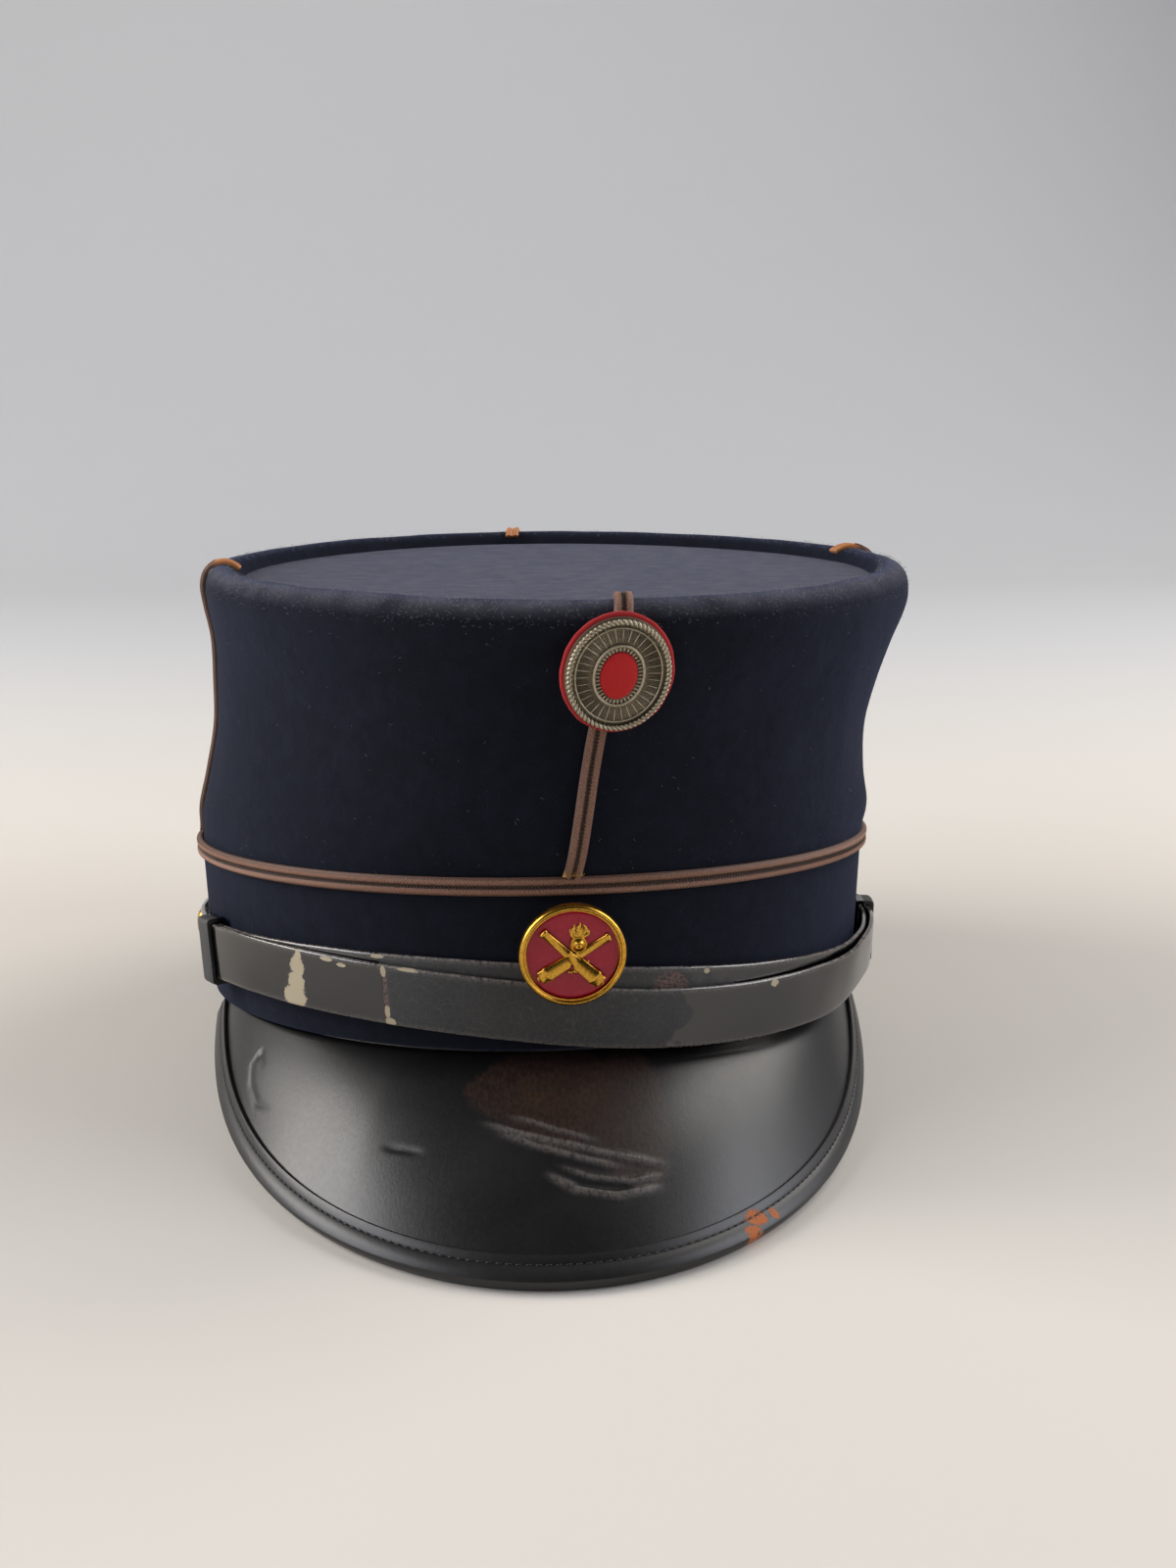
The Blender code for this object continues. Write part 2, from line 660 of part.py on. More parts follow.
def build_button(name, course, angle, brass):
    """Small domed button whose shank passes through the strap to the band."""
    place, side, up, normal = strap_frame(course, angle)
    stand = STRAP_STAND + STRAP_THICKNESS * table_value(course, angle, 2)
    seat = STRAP_THICKNESS + GAP
    profile = ((SHANK_RADIUS, GAP - stand), (SHANK_RADIUS, seat), (BUTTON_RADIUS - 0.3, seat),
               (BUTTON_RADIUS, seat + 0.3), (BUTTON_RADIUS, seat + BUTTON_PLATE),
               (0.8 * BUTTON_RADIUS, seat + BUTTON_PLATE + 0.55 * BUTTON_DOME),
               (0.4 * BUTTON_RADIUS, seat + BUTTON_PLATE + 0.92 * BUTTON_DOME))
    add_object(name, turned(place, side, up, normal, profile, 16), brass)


def build_keeper(name, angle, leather):
    """Leather loop round both straps."""
    sweep = degrees(KEEPER_WIDTH / 2 / BAND_HALF_LENGTH)
    loops_out, loops_in = [], []
    for turn in (angle - sweep, angle, angle + sweep):
        inner_place, _, up, normal = strap_frame(INNER_STRAP, turn)
        outer_place = strap_frame(OUTER_STRAP, turn)[0]
        shift = (outer_place - inner_place).dot(up)
        depth = (outer_place - inner_place).dot(normal) + STRAP_THICKNESS
        low = min(0.0, shift) - STRAP_WIDTH / 2 - GAP
        high = max(0.0, shift) + STRAP_WIDTH / 2 + GAP
        near, far = -GAP, depth + GAP
        for wall, loops in ((KEEPER_THICKNESS, loops_out), (0.0, loops_in)):
            corner = 0.4 + wall
            outline = ((low - wall + corner, near - wall), (high + wall - corner, near - wall),
                       (high + wall, near - wall + corner), (high + wall, far + wall - corner),
                       (high + wall - corner, far + wall), (low - wall + corner, far + wall),
                       (low - wall, far + wall - corner), (low - wall, near - wall + corner))
            loops.append([inner_place + up * across + normal * height for across, height in outline])
    add_object(name, loops_mesh(loops_out + list(reversed(loops_in)), ring=True), leather)


def build_chin_strap(leather, brass):
    """Two overlapping straps in front of the band, their keepers and side buttons."""
    past_keeper = 0.9 * KEEPER_WIDTH
    build_strap("chin_strap_inner", INNER_STRAP, end_angle(BUTTON_LEFT_ANGLE, STRAP_END_REACH),
                end_angle(KEEPER_RIGHT_ANGLE, past_keeper), BUTTON_LEFT_ANGLE, leather)
    build_strap("chin_strap_outer", OUTER_STRAP, end_angle(KEEPER_LEFT_ANGLE, past_keeper),
                end_angle(BUTTON_RIGHT_ANGLE, STRAP_END_REACH), BUTTON_RIGHT_ANGLE, leather)
    build_keeper("strap_keeper_left", KEEPER_LEFT_ANGLE, leather)
    build_keeper("strap_keeper_right", KEEPER_RIGHT_ANGLE, leather)
    build_button("button_left", INNER_STRAP, BUTTON_LEFT_ANGLE, brass)
    build_button("button_right", OUTER_STRAP, BUTTON_RIGHT_ANGLE, brass)


def peak_edge(angle):
    """Point of the peak's outer edge, in the middle of its wall."""
    left = max(1.0 - abs(angle) / PEAK_END_ANGLE, 0.0)
    turn = copysign(radians(90.0 * (1.0 - left ** PEAK_FAN)), angle)
    across, ahead = sin(turn), max(cos(turn), 0.0)
    scale = (abs(across) ** PEAK_ROUNDNESS + ahead ** PEAK_ROUNDNESS) ** (-1.0 / PEAK_ROUNDNESS)
    length = BAND_HALF_LENGTH + PEAK_DEPTH + PEAK_SIDE_Y
    half_width = BAND_HALF_WIDTH - PEAK_SIDE_INSET
    root = peak_root(PEAK_END_ANGLE)
    lift = (1.0 - ahead * scale) ** 2.6
    floor = BINDING_THICKNESS + GAP + PEAK_WALL / 2 - REST_FLAT
    return Vector((half_width * across * scale, PEAK_SIDE_Y - length * ahead * scale,
                   floor + (root.z - floor) * lift))


def peak_root(angle):
    """Point of the peak's inner edge, under the band's wall."""
    place = RINGS[0].point(angle, -PEAK_TUCK)
    return place - Vector((0.0, 0.0, GAP + PEAK_WALL / 2))


def peak_point(angle, share):
    """Point on the peak's middle surface: share 0 at the band, 1 at the edge."""
    root, edge = peak_root(angle), peak_edge(angle)
    arch = PEAK_ARCH * min(1.0, (edge - root).length / PEAK_DEPTH)
    return root.lerp(edge, share) + Vector((0.0, 0.0, arch * sin(pi * share) * (1.0 - 0.3 * share)))


def peak_frame(angle, share):
    """Point of the middle surface with its outward direction and its upper normal."""
    step = 0.01
    place = peak_point(angle, share)
    outward = (peak_point(angle, min(share + step, 1.0)) - peak_point(angle, share - step)).normalized()
    along = (peak_point(angle + 0.5, share) - peak_point(angle - 0.5, share)).normalized()
    normal = along.cross(outward)
    normal = normal if normal.z > 0 else -normal
    return place, outward, normal.normalized()


def peak_angles(limit):
    """Angles along the peak, closer together near its ends."""
    count = 36
    return [limit * sin(radians(90.0 * (2.0 * step / count - 1.0))) for step in range(count + 1)]


def build_peak(leather, edging):
    """Leather peak sewn under the band, and the binding folded over its edge."""
    shares = (0.0, 0.12, 0.35, 0.6, 0.82, 1.0)
    loops = []
    for angle in peak_angles(PEAK_CUT_ANGLE):
        upper, lower = [], []
        for share in shares:
            place, _, normal = peak_frame(angle, max(share, 0.01))
            if share == 0.0:
                normal = Vector((0.0, 0.0, 1.0))
            upper.append(place + normal * PEAK_WALL / 2)
            lower.append(place - normal * PEAK_WALL / 2)
        loops.append(upper + list(reversed(lower)))
    add_object("peak", loops_mesh(loops), leather)

    half = PEAK_WALL / 2 + GAP
    outer = half + BINDING_THICKNESS
    loops = []
    for angle in peak_angles(BINDING_CUT_ANGLE):
        place, _, normal = peak_frame(angle, 1.0)
        outward = normal.cross(peak_edge(angle + 0.5) - peak_edge(angle - 0.5)).normalized()
        outward = outward if outward.dot(place - peak_root(0.0)) > 0 else -outward
        run = (peak_edge(angle) - peak_root(angle)).dot(outward)
        reach = min(BINDING_WIDTH, 0.8 * run)
        section = ((-reach, half), (-reach, outer), (-0.4 * reach, outer), (GAP, outer * 0.94),
                   (GAP + BINDING_THICKNESS, half * 0.6), (GAP + BINDING_THICKNESS, -half * 0.6),
                   (GAP, -outer * 0.94), (-0.4 * reach, -outer), (-reach, -outer), (-reach, -half),
                   (GAP, -half), (GAP, half))
        loops.append([place + outward * across + normal * height for across, height in section])
    add_object("peak_binding", binding_mesh(loops), edging, flat_below=0.0)


def binding_mesh(loops):
    """Mesh of a folded strip: its hollow ends are closed by faces between its two skins."""
    bm = bmesh.new()
    rows = [[bm.verts.new(point) for point in loop] for loop in loops]
    for low, high in zip(rows, rows[1:]):
        for index in range(len(low)):
            after = (index + 1) % len(low)
            bm.faces.new((low[index], low[after], high[after], high[index]))
    caps = [bm.faces.new(rows[0]), bm.faces.new(rows[-1])]
    bm.normal_update()
    bmesh.ops.triangulate(bm, faces=caps)
    return bm


def main():
    """Build every piece and stand the cap on its middle."""
    for old in list(bpy.data.objects):
        bpy.data.objects.remove(old)
    cloth = make_material("navy_cloth", (0.012, 0.015, 0.032), 0.95)
    top_cloth = make_material("grey_worn_cloth", (0.075, 0.08, 0.1), 0.97)
    braid = make_material("brown_braid", (0.2, 0.12, 0.08), 0.75)
    felt = make_material("red_felt", (0.5, 0.015, 0.02), 0.9)
    wire = make_material("dull_gilt_wire", (0.35, 0.3, 0.2), 0.45, 0.8)
    gold = make_material("gilt_brass", (0.72, 0.48, 0.12), 0.3, 1.0)
    enamel = make_material("crimson_enamel", (0.25, 0.015, 0.03), 0.15)
    patent = make_material("black_patent_leather", (0.01, 0.01, 0.012), 0.25)
    leather = make_material("black_leather", (0.02, 0.02, 0.022), 0.45)
    edging = make_material("black_edging_leather", (0.012, 0.012, 0.014), 0.4)

    build_band(cloth)
    build_crown(cloth, top_cloth)
    build_braids(braid)
    build_cockade(felt, wire, wire, felt)
    build_badge(gold, enamel, gold)
    build_chin_strap(patent, gold)
    build_peak(leather, edging)

    bpy.context.view_layer.update()
    pieces = [piece for piece in bpy.data.objects if piece.type == "MESH"]
    corners = [vertex.co for piece in pieces for vertex in piece.data.vertices if not piece.hide_render]
    stand = bpy.data.objects.new("kepi", None)
    bpy.context.scene.collection.objects.link(stand)
    for piece in pieces:
        piece.parent = stand
    middle_x = (min(co.x for co in corners) + max(co.x for co in corners)) / 2
    middle_y = (min(co.y for co in corners) + max(co.y for co in corners)) / 2
    stand.location = (-middle_x, -middle_y, 0.0)


main()
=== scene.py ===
"""Looks of the kepi cap: wool crown and band, braid, cockade, badge, chin strap and leather peak.

Shapes are worked out in millimetres in the cap's own frame (peak along -Y, +Z up, an angle counted round
the cap from the middle of the peak towards +X) and are placed in the model's frame when a mesh is made.
"""

import logging
from dataclasses import dataclass, field
from enum import Enum
from math import cos, pi, radians, sin
from typing import Any, Optional, Sequence

import bmesh
import bpy
import numpy as np
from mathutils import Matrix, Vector, noise


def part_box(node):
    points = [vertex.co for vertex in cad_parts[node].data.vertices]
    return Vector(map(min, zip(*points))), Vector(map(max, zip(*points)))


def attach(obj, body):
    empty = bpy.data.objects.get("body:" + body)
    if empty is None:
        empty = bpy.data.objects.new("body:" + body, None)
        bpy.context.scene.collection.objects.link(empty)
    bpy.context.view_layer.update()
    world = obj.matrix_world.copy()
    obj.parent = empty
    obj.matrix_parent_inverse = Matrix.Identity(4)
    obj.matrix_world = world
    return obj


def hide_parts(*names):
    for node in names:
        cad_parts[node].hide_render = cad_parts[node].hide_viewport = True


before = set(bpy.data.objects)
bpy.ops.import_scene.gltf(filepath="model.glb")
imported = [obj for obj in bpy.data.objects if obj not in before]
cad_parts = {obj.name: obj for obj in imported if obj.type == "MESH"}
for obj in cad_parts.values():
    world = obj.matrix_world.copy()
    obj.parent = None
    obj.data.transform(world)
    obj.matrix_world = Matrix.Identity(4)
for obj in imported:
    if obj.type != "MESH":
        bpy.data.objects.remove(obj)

MM = 0.001
LOG = logging.getLogger("kepi")
Points = np.ndarray
Table = tuple[tuple[float, ...], ...]


class Side(Enum):
    """Side of a line, as a sign."""
    LEFT = -1
    RIGHT = 1


# Small tools

def srgb(colour: str) -> tuple[float, float, float, float]:
    """Linear colour of an sRGB hex value such as "#8a6a5a"."""
    parts = [int(colour[place:place + 2], 16) / 255 for place in (1, 3, 5)]
    linear = [part / 12.92 if part <= 0.04045 else ((part + 0.055) / 1.055) ** 2.4 for part in parts]
    return (linear[0], linear[1], linear[2], 1.0)


def feed(node: bpy.types.Node, feeds: dict[Any, Any]) -> None:
    """Set or link inputs of a node.

    Args:
        node: Node that is fed.
        feeds: Value, node or output socket for an input, by the input's name or place.
    """
    for key, value in feeds.items():
        if isinstance(value, bpy.types.Node):
            value = next(output for output in value.outputs if output.enabled)
        if isinstance(value, bpy.types.NodeSocket):
            node.id_data.links.new(value, node.inputs[key])
        else:
            node.inputs[key].default_value = value


def add_node(tree: bpy.types.NodeTree, kind: str, feeds: Optional[dict[Any, Any]] = None,
             **settings: Any) -> bpy.types.Node:
    """Add a node with its settings and inputs.

    Args:
        tree: Node tree that gets the node.
        kind: Blender's identifier of the node.
        feeds: Value, node or output socket for an input, by the input's name or place.
        settings: Properties of the node.

    Returns:
        The new node.
    """
    made = tree.nodes.new(kind)
    for name, value in settings.items():
        setattr(made, name, value)
    feed(made, feeds or {})
    return made


def unit(vectors: Points) -> Points:
    """The vectors at length one."""
    return vectors / np.maximum(np.linalg.norm(vectors, axis=-1, keepdims=True), 1e-9)


def run_lengths(line: Points) -> Points:
    """Distance from the start of a line to each of its points."""
    return np.concatenate([[0.0], np.cumsum(np.linalg.norm(np.diff(line, axis=0), axis=1))])


def table_value(table: Table, at: float, column: int) -> float:
    """Smooth reading of a table whose first column rises.

    Args:
        table: Rows of numbers.
        at: Place in the first column.
        column: Column to read.

    Returns:
        The value on a smooth curve through the rows.
    """
    if at <= table[0][0]:
        return table[0][column]
    for index in range(len(table) - 1):
        start, end = table[index], table[index + 1]
        if at <= end[0]:
            before, after = table[max(index - 1, 0)], table[min(index + 2, len(table) - 1)]
            span = end[0] - start[0]
            share = (at - start[0]) / span
            lead = (end[column] - before[column]) / (end[0] - before[0]) * span
            trail = (after[column] - start[column]) / (after[0] - start[0]) * span
            square, cube = share * share, share ** 3
            return ((2 * cube - 3 * square + 1) * start[column] + (cube - 2 * square + share) * lead
                    + (3 * square - 2 * cube) * end[column] + (cube - square) * trail)
    return table[-1][column]


def grain(points: Points, scale: float, seed: float = 0.0) -> Points:
    """Soft noise from -1 to 1 at points in millimetres, with features about as wide as scale."""
    shift = Vector((seed, 2.3 * seed, -seed))
    flat = points.reshape(-1, 3)
    values = [noise.noise(Vector(point) / scale + shift) for point in flat]
    return np.array(values).reshape(points.shape[:-1])


@dataclass
class Loft:
    """A mesh of closed loops joined one to the next.

    Attributes:
        name: Name of the piece.
        loops: Points in millimetres, as (loop, point, axis).
        ring: Whether the last loop joins the first.
        uv: Optional texture places in millimetres, as (loop, point, 2).
        marks: Optional numbers from 0 to 1 for each point, by attribute name.
    """
    name: str
    loops: Points
    ring: bool = False
    uv: Optional[Points] = None
    marks: dict[str, Points] = field(default_factory=dict)

    def build(self, origin: Points) -> bpy.types.Object:
        """Make the object, closed and facing outwards.

        Args:
            origin: Place of the cap's frame in the model's frame, in millimetres.

        Returns:
            The object, at the origin with its place in its mesh.
        """
        count, size = self.loops.shape[:2]
        index = np.arange(count * size).reshape(count, size)
        after = np.roll(index, -1, axis=1)
        low, high = (index, np.roll(index, -1, axis=0)) if self.ring else (index[:-1], index[1:])
        low_after = after if self.ring else after[:-1]
        high_after = np.roll(after, -1, axis=0) if self.ring else after[1:]
        faces = np.stack([low, low_after, high_after, high], axis=-1).reshape(-1, 4).tolist()
        if not self.ring:
            faces += [index[0].tolist(), index[-1][::-1].tolist()]
        mesh = bpy.data.meshes.new(self.name)
        mesh.from_pydata(((self.loops.reshape(-1, 3) + origin) * MM).tolist(), [], faces)
        if self.uv is not None:
            layer = mesh.uv_layers.new(name="surface")
            corner_points = np.empty(len(mesh.loops), dtype=np.int32)
            mesh.loops.foreach_get("vertex_index", corner_points)
            layer.data.foreach_set("uv", self.uv.reshape(-1, 2)[corner_points].astype(np.float32).ravel())
        for name, values in self.marks.items():
            mark = mesh.attributes.new(name, "FLOAT", "POINT")
            mark.data.foreach_set("value", values.astype(np.float32).ravel())
        return finished(self.name, mesh)


def finished(name: str, mesh: bpy.types.Mesh, sharp: float = 50.0) -> bpy.types.Object:
    """Object of a mesh with its faces turned outwards and shaded smooth.

    Args:
        name: Name of the object.
        mesh: Closed mesh in metres.
        sharp: Angle in degrees past which an edge stays sharp.

    Returns:
        The linked object.
    """
    bm = bmesh.new()
    bm.from_mesh(mesh)
    bmesh.ops.recalc_face_normals(bm, faces=bm.faces)
    if bm.calc_volume(signed=True) < 0:
        bmesh.ops.reverse_faces(bm, faces=bm.faces)
    bm.to_mesh(mesh)
    bm.free()
    mesh.shade_smooth()
    mesh.set_sharp_from_angle(angle=radians(sharp))
    return linked(name, mesh)


def rounded_box(low: float, high: float, near: float, far: float, corner: float, steps: int = 4) -> Points:
    """Outline of a rectangle with round corners, as points (across, height)."""
    outline = []
    for centre_x, centre_y, start in ((high - corner, far - corner, 0.0), (low + corner, far - corner, 90.0),
                                      (low + corner, near + corner, 180.0),
                                      (high - corner, near + corner, 270.0)):
        for step in range(steps + 1):
            turn = radians(start + 90.0 * step / steps)
            outline.append((centre_x + corner * cos(turn), centre_y + corner * sin(turn)))
    return np.array(outline)


def linked(name: str, data: bpy.types.ID) -> bpy.types.Object:
    """New object of a mesh, light or camera, linked to the scene."""
    made = bpy.data.objects.new(name, data)
    bpy.context.scene.collection.objects.link(made)
    return made


def swept(place: Points, side: Points, rise: Points, section: Points) -> Points:
    """Loops of a section (across, height) carried along frames of place, side and rise."""
    return (place[:, None, :] + side[:, None, :] * section[None, :, 0, None]
            + rise[:, None, :] * section[None, :, 1, None])


# Shape of the cap

@dataclass(frozen=True)
class CapShape:
    """Outer face of band, crown and rolled edge, in millimetres.

    A row counts up the wall: 0 to 1 is the band, then the rings of the crown and of the rolled edge.
    """
    origin: tuple[float, float, float]
    band_half_width: float = 84.3
    band_half_length: float = 92.5
    band_taper_side: float = 1.5
    band_taper_front: float = 1.0
    band_height: float = 37.5
    band_back_drop: float = 2.0
    band_tilt: float = 8.7
    band_lean: float = 2.4
    rest_flat: float = 0.75
    crown_height: float = 70.5
    crown_lean: float = 7.0
    rim_tilt: float = 1.2
    corner_swell: float = 1.0
    corner_angle: float = 6.0
    dent_depth: float = 1.7
    roll_width: float = 9.0
    roll_drop: float = 3.6
    # rise, width, length, lean, level of each ring of the crown
    crown_rows: Table = ((0.0, 1.0, 1.0, 0.0, 0.0), (0.05, 1.0, 1.001, 0.05, 0.05),
                         (0.13, 1.003, 1.010, 0.13, 0.13), (0.26, 0.986, 1.002, 0.26, 0.26),
                         (0.43, 0.970, 0.988, 0.43, 0.44), (0.59, 0.975, 0.990, 0.60, 0.62),
                         (0.74, 0.993, 0.998, 0.86, 0.78), (0.86, 1.018, 1.006, 1.0, 0.92),
                         (0.925, 1.022, 1.009, 1.0, 1.0))
    # inset, drop of each ring of the rolled edge
    roll_rows: Table = ((0.09, 0.60), (0.30, 0.12), (0.56, 0.0), (0.82, 0.30), (1.0, 0.94))
    # angle, rise, depth, angle_span, rise_span of each dent of the cloth
    dents: Table = ((-42.0, 0.52, 0.9, 26.0, 0.24), (34.0, 0.60, 0.7, 20.0, 0.22),
                    (72.0, 0.34, 0.8, 24.0, 0.20), (118.0, 0.58, 1.0, 26.0, 0.26),
                    (160.0, 0.42, 0.8, 20.0, 0.22), (-150.0, 0.60, 1.0, 28.0, 0.24),
                    (-104.0, 0.44, 0.7, 22.0, 0.20), (92.0, 0.78, -0.6, 16.0, 0.14),
                    (-14.0, 0.20, -0.5, 20.0, 0.12))

    @property
    def ring_count(self) -> int:
        """How many rings the wall has before the rolled edge."""
        return 1 + len(self.crown_rows)

    @property
    def last_row(self) -> int:
        """Row of the rolled edge's end, at the sunken top."""
        return self.ring_count + len(self.roll_rows) - 1

    @property
    def foot_tilt(self) -> float:
        """Tilt of the band's bottom edge in radians."""
        return radians(self.band_tilt) + self.band_back_drop / (2 * self.band_half_length)

    def braid_z(self) -> float:
        """Height of the braid line in the middle of the cap."""
        bottom = (self.band_half_length - self.band_taper_front) * sin(self.foot_tilt) - self.rest_flat
        return bottom + self.band_height * cos(radians(self.band_tilt))

    def crest_z(self) -> float:
        """Height of the rim's crest in the middle of the cap."""
        return self.braid_z() + self.crown_height

    def rim_rise(self) -> float:
        """Height of the rim's crest over the last ring of the wall, in the middle of the cap."""
        return self.crest_z() - (self.braid_z() + self.crown_height * self.crown_rows[-1][0])

    def dent(self, angle: Points, rise: float) -> Points:
        """Depth of the crown's dents at these angles and this rise."""
        depth = np.zeros_like(angle)
        if not 0.0 < rise < 0.95:
            return depth
        for at, height, share, angle_span, rise_span in self.dents:
            turn = ((angle - at + 180.0) % 360.0 - 180.0) / angle_span
            climb = (rise - height) / rise_span
            if abs(climb) < 1.0:
                bowl = (np.cos(pi * turn / 2) * cos(pi * climb / 2)) ** 2
                depth += np.where(np.abs(turn) < 1.0, share * self.dent_depth * bowl, 0.0)
        return depth

    def ring(self, index: int, angle: Points, out: float = 0.0) -> Points:
        """Points of one ring of the wall.

        Args:
            index: Ring, 0 at the band's bottom edge.
            angle: Angles in degrees.
            out: Distance outwards.

        Returns:
            A point for each angle.
        """
        braid = self.braid_z()
        if index == 0:
            tilt = self.foot_tilt
            half_width = self.band_half_width - self.band_taper_side
            half_length = self.band_half_length - self.band_taper_front
            centre = np.array((0.0, -self.band_lean, half_length * sin(tilt) - self.rest_flat))
            rise = 0.0
        else:
            rise, width, length, lean, level = self.crown_rows[index - 1]
            tilt = radians(self.band_tilt + (self.rim_tilt - self.band_tilt) * level)
            half_width, half_length = self.band_half_width * width, self.band_half_length * length
            centre = np.array((self.crown_lean * lean, 0.0, braid + self.crown_height * rise))
        turn = np.radians(angle)
        push = (out + self.corner_swell * rise ** 2 * np.cos(4 * np.radians(angle - self.corner_angle))
                - self.dent(angle, rise))
        across, along = (half_width + push) * np.sin(turn), -(half_length + push) * np.cos(turn)
        return centre + np.stack([across, along * cos(tilt), -along * sin(tilt)], axis=-1)

    def roll(self, inset: float, drop: float, angle: Points, gap: float = 0.0) -> Points:
        """Ring of the rolled edge.

        Args:
            inset: Distance inwards, as a share of the roll's width.
            drop: Distance below the crest, as a share of the roll's depth.
            angle: Angles in degrees.
            gap: Further distance inwards in millimetres.

        Returns:
            A point for each angle.
        """
        lift = np.array((0.0, 0.0, self.rim_rise() - drop * self.roll_drop))
        return self.ring(self.ring_count - 1, angle, -(inset * self.roll_width + gap)) + lift

    def station(self, index: int, angle: Points) -> Points:
        """Points of a ring of the wall or of the rolled edge."""
        if index < self.ring_count:
            return self.ring(index, angle)
        inset, drop = self.roll_rows[index - self.ring_count]
        return self.roll(inset, drop, angle)

    def surface(self, angle: Points, row: Points) -> Points:
        """Points of the outer face, straight up the band and smooth up the crown.

        Args:
            angle: Angles in degrees.
            row: Rows, one for each angle.

        Returns:
            A point for each pair.
        """
        angle, row = np.broadcast_arrays(np.asarray(angle, float), np.asarray(row, float))
        stations = np.stack([self.station(index, angle) for index in range(self.last_row + 1)])
        low = np.clip(row.astype(int), 0, self.last_row - 1)
        share = (row - low)[..., None]

        def at(index: Points) -> Points:
            return np.take_along_axis(stations, index[None, ..., None], axis=0)[0]

        start, end = at(low), at(low + 1)
        before, after = at(np.maximum(low - 1, 1)), at(np.minimum(low + 2, self.last_row))
        smooth = 0.5 * (2 * start + (end - before) * share
                        + (2 * before - 5 * start + 4 * end - after) * share ** 2
                        + (3 * start - before - 3 * end + after) * share ** 3)
        return np.where((low == 0)[..., None], start + (end - start) * share, smooth)

    def wall(self, angle: Points, row: Points, out: Points = 0.0) -> tuple[Points, Points, Points, Points]:
        """Frames on the outer face.

        Args:
            angle: Angles in degrees.
            row: Rows, one for each angle.
            out: Distance outwards.

        Returns:
            Place, direction round the cap, direction up the wall and outward normal.
        """
        angle, row = np.broadcast_arrays(np.asarray(angle, float), np.asarray(row, float))
        across = unit(self.surface(angle + 1.0, row) - self.surface(angle - 1.0, row))
        high, low = np.minimum(row + 0.06, self.last_row), np.maximum(row - 0.06, 0.0)
        normal = unit(np.cross(across, self.surface(angle, high) - self.surface(angle, low)))
        place = self.surface(angle, row) + normal * np.asarray(out)[..., None]
        return place, across, np.cross(normal, across), normal

    def climb_row(self, angle: float, climb: float) -> float:
        """Row at a distance above the braid line, measured up the wall at one angle."""
        rows = np.linspace(1.0, self.last_row, 261)
        line = self.surface(np.full_like(rows, angle), rows)
        return float(np.interp(climb, run_lengths(line), rows))


# Finishes

@dataclass(frozen=True)
class Finish:
    """A material: a named surface with one principled shader that its kind fills in."""
    name: str

    def build(self) -> bpy.types.Material:
        """Make the material, or give the one that was made before."""
        made = bpy.data.materials.get(self.name)
        if made is None:
            made = bpy.data.materials.new(self.name)
            made.use_nodes = True
            made.node_tree.nodes.clear()
            shader = add_node(made.node_tree, "ShaderNodeBsdfPrincipled")
            add_node(made.node_tree, "ShaderNodeOutputMaterial", {"Surface": shader})
            self.fill(made.node_tree, shader)
        return made

    def fill(self, tree: bpy.types.NodeTree, shader: bpy.types.Node) -> None:
        """Add the nodes that this kind of surface needs."""
        raise NotImplementedError

    def dress(self, piece: bpy.types.Object) -> None:
        """Give the material to a piece."""
        piece.data.materials.clear()
        piece.data.materials.append(self.build())


def spread(tree: bpy.types.NodeTree, value: Any, low: float, high: float, to_low: float = 0.0,
           to_high: float = 1.0) -> bpy.types.Node:
    """Soft step of a value from one range to another."""
    return add_node(tree, "ShaderNodeMapRange", {0: value, 1: low, 2: high, 3: to_low, 4: to_high},
                    interpolation_type="SMOOTHSTEP")


def blended(tree: bpy.types.NodeTree, share: Any, first: Any, second: Any) -> bpy.types.NodeSocket:
    """Mix of two colours by a share."""
    return add_node(tree, "ShaderNodeMix", {0: share, 6: first, 7: second}, data_type="RGBA").outputs[2]


def combined(tree: bpy.types.NodeTree, how: str, first: Any, second: Any,
             third: Any = 0.0) -> bpy.types.Node:
    """Arithmetic on up to three values."""
    return add_node(tree, "ShaderNodeMath", {0: first, 1: second, 2: third}, operation=how)


def millimetres(tree: bpy.types.NodeTree, size: float,
                stretch: Sequence[float] = (1.0, 1.0, 1.0)) -> bpy.types.Node:
    """Object coordinates in units of size millimetres, stretched along each axis."""
    place = add_node(tree, "ShaderNodeTexCoord")
    scale = tuple(1.0 / (MM * size * part) for part in stretch)
    return add_node(tree, "ShaderNodeMapping", {0: place.outputs["Object"], 3: scale})


def clouds(tree: bpy.types.NodeTree, place: Any, detail: float, rough: float = 0.5, scale: float = 5.0,
           bent: float = 0.0) -> bpy.types.Node:
    """Soft noise from 0 to 1 at a place."""
    return add_node(tree, "ShaderNodeTexNoise", {"Vector": place, "Scale": scale, "Detail": detail,
                                                 "Roughness": rough, "Distortion": bent})


def cells(tree: bpy.types.NodeTree, place: Any, scale: float = 5.0, feature: str = "F1") -> bpy.types.Node:
    """Random cells at a place."""
    return add_node(tree, "ShaderNodeTexVoronoi", {"Vector": place, "Scale": scale}, feature=feature)


def specks(tree: bpy.types.NodeTree, size: float, chance: tuple[float, float],
           dot: tuple[float, float]) -> bpy.types.Node:
    """Mask of small round specks in some cells of a random pattern.

    Args:
        tree: Node tree of the material.
        size: Size of the pattern in millimetres.
        chance: Range of a cell's own number over which its speck appears.
        dot: Outer and inner radius of a speck, as shares of a cell.

    Returns:
        Node whose output is the mask.
    """
    pattern = cells(tree, millimetres(tree, size))
    number = add_node(tree, "ShaderNodeSeparateColor", {0: pattern.outputs["Color"]})
    return combined(tree, "MULTIPLY", spread(tree, number, *chance),
                    spread(tree, pattern.outputs["Distance"], *dot))


